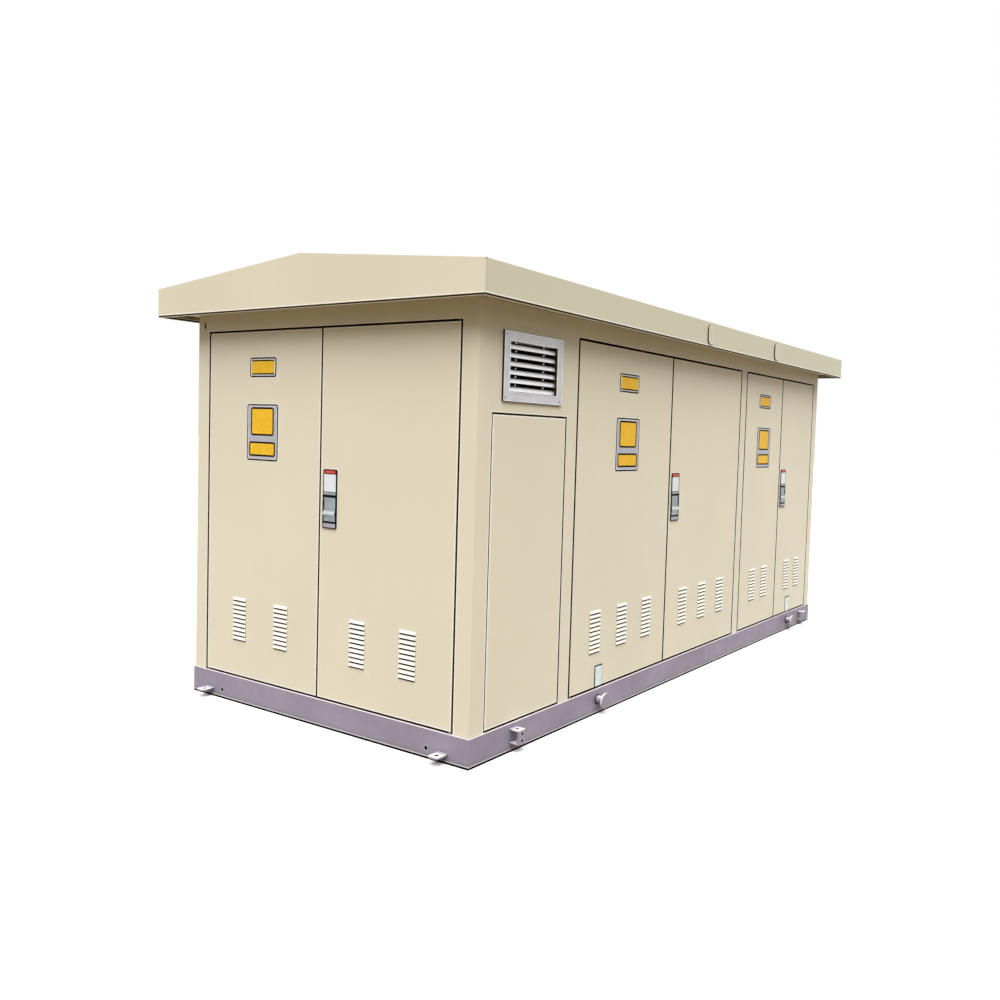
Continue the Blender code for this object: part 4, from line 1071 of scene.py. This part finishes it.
def louvre_trim(side, low, high):
    """Bright lips, a face of painted shade, and corner screws of a louvre window."""
    bm = bmesh.new()
    for (inner, outer), (back, front), finish in LOUVRE_FACES:
        add_frame(bm, low, high, rect((inner, back), (outer, front)), finish)
    for u, z in inner_rect(low, high, SCREW_INSET):
        matrix = axis_matrix((u, LOUVRE_FACE_FRONT, z), (0, -1, 0))
        add_turned(bm, SCREW_PROFILE, matrix, SCREW_SIDES, 2)
    finish_piece("louvre_trim_" + side, bm, ("aluminium", "aluminium_shaded", "screw"),
                 side)


def louvre_gasket(side, low, high):
    """Gasket behind a louvre window, its pale bead, dark jambs, and sleeves on its tie rods."""
    bm = bmesh.new()
    # The dark gasket paints the shadow round the frame
    add_frame(bm, low, high, rect((-GASKET_SPREAD, GASKET_FRONT), (FILM, -FILM)), 0)
    # Its pale bead is a painted highlight
    spread = -GASKET_SPREAD - GASKET_BEAD
    add_frame(bm, low, high, ((spread, FILM), (spread, -FILM), (-GASKET_SPREAD, -2 * FILM),
                              (-GASKET_SPREAD, FILM)), 1)
    open_low, open_high = low[1] + LOUVRE_BORDER, high[1] - LOUVRE_BORDER
    # Dark films on the jambs: painted shade
    for jamb in (low[0] + LOUVRE_BORDER, high[0] - LOUVRE_BORDER):
        outline = rect((jamb - JAMB_FILM, JAMB_FRONT), (jamb + JAMB_FILM, LOUVRE_SLEEVE_DEPTH))
        add_upright(bm, outline, open_low, open_high, 0)
    pitch = (open_high - open_low) / SLAT_COUNT
    radius = ROD_RADIUS + ROD_SLEEVE
    # Dark sleeves paint shade on the tie rods, and bright ticks between the slats paint their
    # glints
    for offset in (-ROD_OFFSET, ROD_OFFSET):
        rod = axis_matrix(((low[0] + high[0]) / 2 + offset, ROD_DEPTH, open_low), (0, 0, 1))
        add_turned(bm, ((radius, FILM), (radius, open_high - open_low - FILM)), rod, SCREW_SIDES, 0)
        for i in range(SLAT_COUNT):
            tick = (i + ROD_TICK_PLACE) * pitch
            outline = rect((radius, tick), (radius + ROD_SLEEVE, tick + ROD_TICK))
            add_turned(bm, outline, rod, SCREW_SIDES, 2)
    finish_piece("louvre_gasket_" + side, bm, ("rubber", "edge", "aluminium"), side=side)


def wall_slot():
    """The upright slot near the top of the near end: a mouth of painted shade in a thin collar."""
    radius = WALL_SLOT_SIZE[0] / 2
    bm = bmesh.new()
    add_layer(bm, WALL_SLOT_SIZE, radius, WALL_SLOT, LAYER, -LAYER, 0)
    add_bead(bm, WALL_SLOT_SIZE, radius, WALL_SLOT, WALL_SLOT_COLLAR, 1)
    finish_piece("wall_slot", bm, ("rubber", "joint"), "near_end")


# Base


def add_weld(bm, points, up, radius=WELD_RADIUS):
    """A rippled weld bead along a path, its section turned about the tangent from up."""
    up = Vector(up)
    rings = []
    count = len(points)
    for i, point in enumerate(points):
        along = points[min(i + 1, count - 1)] - points[max(i - 1, 0)]
        across = along.normalized().cross(up)
        ripple = sin(2 * pi * i * WELD_STEP / WELD_PITCH)
        size = radius * (1 + WELD_RIPPLE * ripple + rng.uniform(-WELD_JITTER, WELD_JITTER))
        ring = []
        for j in range(WELD_SIDES):
            angle = 2 * pi * j / WELD_SIDES
            ring.append(point + size * (cos(angle) * across + sin(angle) * up))
        rings.append(ring)
    add_loft(bm, rings)


def straight_path(start, end):
    start, end = Vector(start), Vector(end)
    steps = max(2, round((end - start).length / WELD_STEP))
    return [start.lerp(end, i / steps) for i in range(steps + 1)]


def base_welds():
    """Weld beads at the base's corners and round the pieces welded to it."""
    bm = bmesh.new()
    for x_sign, x in BASE_ENDS:
        for y_sign, y in BASE_LONGS:
            corner = (x - x_sign * CORNER_WELD_SINK, y - y_sign * CORNER_WELD_SINK)
            add_weld(bm, straight_path((*corner, WELD_RADIUS), (*corner, BASE_TOP - WELD_RADIUS)),
                     (x_sign, 0, 0), CORNER_WELD_RADIUS)
    half = TAB_WIDTH / 2
    for _, x, y in TABS:
        for z in (TAB_TOP, TAB_TOP - TAB_THICKNESS):
            add_weld(bm, straight_path((x, y - half, z), (x, y + half, z)), (0, 0, 1))
    half = BRACKET_WIDTH / 2
    for _, y, x in BRACKETS:
        for z in (BRACKET_TOP, BRACKET_TOP - BRACKET_HEIGHT):
            add_weld(bm, straight_path((x - half, y, z), (x + half, y, z)), (0, 0, 1))
    finish_piece("base_welds", bm, ("base",))


def add_hole_rim(bm, centre, axis, radius):
    """A black cap of painted shade in a bolt hole, and a rim of painted highlight round it."""
    matrix = axis_matrix(centre, axis)
    cap = radius + CAP_SPREAD
    rim = rect((cap, -HOLE_RIM_PROUD), (cap + HOLE_RIM, HOLE_RIM_PROUD))
    add_turned(bm, rim, matrix, HOLE_SIDES, 0, closed=True)
    add_turned(bm, ((radius, -CAP_THICKNESS), (radius, 0), (cap, 0), (cap, CAP_PROUD)),
               matrix, HOLE_SIDES, 1)


def add_trunnion_rims(bm, node):
    """Painted highlight on a trunnion disc's rim, and a dark seal at its root, a painted shadow."""
    low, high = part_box(node)
    middle = (low + high) / 2
    (sign, face), tip = (BASE_LONGS[0], low.y) if middle.y < 0 else (BASE_LONGS[1], high.y)
    outer, inner = DISC_RADIUS + FILM, DISC_RADIUS - 3 * FILM
    back = FILM - DISC_THICKNESS
    add_turned(bm, ((inner, -2 * DISC_BEVEL), (outer, -DISC_BEVEL), (outer, back), (inner, back)),
               axis_matrix((middle.x, tip, middle.z), (0, sign, 0)), 2 * HOLE_SIDES, 0,
               closed=True)
    spread, proud = TRUNNION_ROOT
    outer, inner = TRUNNION_RADIUS + spread, TRUNNION_RADIUS - FILM
    add_turned(bm, ((inner, -FILM), (outer, -FILM), (outer, proud / 2), (inner, proud)),
               axis_matrix((middle.x, face, middle.z), (0, sign, 0)), 2 * HOLE_SIDES, 1,
               closed=True)


def base_details():
    """Bolt hole rims and caps, trunnion disc rims and root seals: painted highlights and shade."""
    bm = bmesh.new()
    for sign, x, y in TABS:
        add_hole_rim(bm, (x + sign * TAB_HOLE_REACH, y, TAB_TOP), (0, 0, 1), TAB_HOLE_RADIUS)
    for sign, y, x in BRACKETS:
        add_hole_rim(bm, (x, y + sign * BRACKET_TOP_HOLE_REACH, BRACKET_TOP), (0, 0, 1),
                     BRACKET_HOLE_RADIUS)
        for rise in BRACKET_HOLE_RISE:
            centre = (x, y + sign * BRACKET_DEPTH, BRACKET_TOP - BRACKET_HEIGHT + rise)
            add_hole_rim(bm, centre, (0, sign, 0), BRACKET_HOLE_RADIUS)
    for sign, x in BASE_ENDS:
        for y in (WALL_LOW.y + BASE_HOLE_SETBACK, WALL_HIGH.y - BASE_HOLE_SETBACK):
            add_hole_rim(bm, (x, y, BASE_HOLE_HEIGHT), (sign, 0, 0), BASE_HOLE_RADIUS)
    for node in TRUNNIONS:
        add_trunnion_rims(bm, node)
    finish_piece("base_details", bm, ("base_highlight", "lock_black"))


def dress_building():
    dress_cad_nodes()
    for bay in bay_list():
        bay_seal(*bay)
        bay_edges(*bay)
        _, side, leaves, *_ = bay
        for leaf in leaves:
            leaf_trim(side, leaf)
            if leaf.startswith("door"):
                vent_marks(side, leaf)
    base_bead()
    base_foot_shadow()
    drip_seal()
    roof_joints()
    for side, node in SIGN_LEAVES:
        sign_plate(side, node)
        name_plate(side, node)
    for side, node, with_card in LOCKS:
        lock_unit(side, node, with_card)
    for entry in STICKERS:
        sticker(*entry)
    for side in ("front", "back"):
        window = "louvre_window_" + side
        low, high = zip(wall_range(side, window), (corner.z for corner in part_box(window)))
        louvre_trim(side, low, high)
        louvre_gasket(side, low, high)
        roof_covers(side)
    wall_slot()
    base_welds()
    base_details()


dress_building()


# Stage

FLOOR_REACH = 90.0
SKY_AT_HORIZON = (0.118, 0.086, 0.045)
SKY_AT_ZENITH = (0.92, 0.92, 0.92)
WHITE = (1.0, 1.0, 1.0)
SUN_STRENGTH = 3.83
SUN_ELEVATION = radians(50)
SUN_AZIMUTH = radians(220)
SUN_SPREAD = radians(46)
FLOOR_BOUNCE = (0.148, 0.106, 0.052)


def heading(azimuth, elevation):
    """Unit vector at an azimuth from +X and an elevation over the floor."""
    level = cos(elevation)
    return Vector((cos(azimuth) * level, sin(azimuth) * level, sin(elevation)))


def background_rays(tree):
    """1 for rays that see the background: from the camera, or by reflection or through glass."""
    rays = add_node(tree, "ShaderNodeLightPath", {})
    total = rays["Is Camera Ray"]
    for name in ("Is Glossy Ray", "Is Transmission Ray"):
        inputs = {0: total, 1: rays[name]}
        total = add_node(tree, "ShaderNodeMath", inputs, operation="MAXIMUM")["Value"]
    return total


def stage_floor():
    corners = rect((-FLOOR_REACH, -FLOOR_REACH), (FLOOR_REACH, FLOOR_REACH))
    bm = bmesh.new()
    bm.faces.new([bm.verts.new((x, y, 0)) for x, y in corners])
    mesh = bpy.data.meshes.new("stage_floor")
    bm.to_mesh(mesh)
    bm.free()
    add_object("stage_floor", mesh)
    coat = Finish("stage_floor_white", 0.9, gloss=0.0)
    shade = coat.mix(background_rays(coat.tree), FLOOR_BOUNCE, WHITE)
    mesh.materials.append(coat.done(shade))


def studio_light():
    world = bpy.data.worlds.new("studio")
    scene.world = world
    world.use_nodes = True
    tree = world.node_tree
    direction = add_node(tree, "ShaderNodeTexCoord", {})["Generated"]
    height = add_node(tree, "ShaderNodeSeparateXYZ", {"Vector": direction})["Z"]
    dome = mixed_colour(tree, height, SKY_AT_HORIZON, SKY_AT_ZENITH)
    shown = mixed_colour(tree, background_rays(tree), dome, WHITE)
    tree.links.new(shown, tree.nodes["Background"].inputs["Color"])
    lamp = bpy.data.lights.new("soft_sun", "SUN")
    lamp.energy = SUN_STRENGTH
    lamp.angle = SUN_SPREAD
    sun = add_object("soft_sun", lamp)
    sun.rotation_mode = "QUATERNION"
    sun.rotation_quaternion = heading(SUN_AZIMUTH, SUN_ELEVATION).to_track_quat("Z", "Y")


# Camera fitted to the photograph's 1000 x 1000 frame
PHOTO_SIZE = 1000.0
SENSOR = 36.0
CAMERA_PLACE = (-3.0761, -2.6071, 1.5215)
CAMERA_YAW = 0.5618
CAMERA_PITCH = -0.0538
CAMERA_ROLL = 0.0346
FOCAL_PIXELS = 901.1
PRINCIPAL_POINT = (603.59, 485.74)
VIEW_REACH = 500.0


def photo_camera():
    data = bpy.data.cameras.new("photo_camera")
    data.sensor_width = SENSOR
    data.lens = FOCAL_PIXELS / PHOTO_SIZE * SENSOR
    data.shift_x = (PHOTO_SIZE / 2 - PRINCIPAL_POINT[0]) / PHOTO_SIZE
    data.shift_y = (PRINCIPAL_POINT[1] - PHOTO_SIZE / 2) / PHOTO_SIZE
    data.clip_end = VIEW_REACH
    camera = add_object("photo_camera", data)
    camera.location = Vector((WALL_LOW.x, WALL_LOW.y, 0)) + Vector(CAMERA_PLACE)
    camera.rotation_mode = "QUATERNION"
    unrolled = heading(CAMERA_YAW, CAMERA_PITCH).to_track_quat("-Z", "Y")
    camera.rotation_quaternion = unrolled @ Quaternion((0, 0, 1), CAMERA_ROLL)
    scene.camera = camera


stage_floor()
studio_light()
photo_camera()
scene.view_settings.view_transform = "Standard"
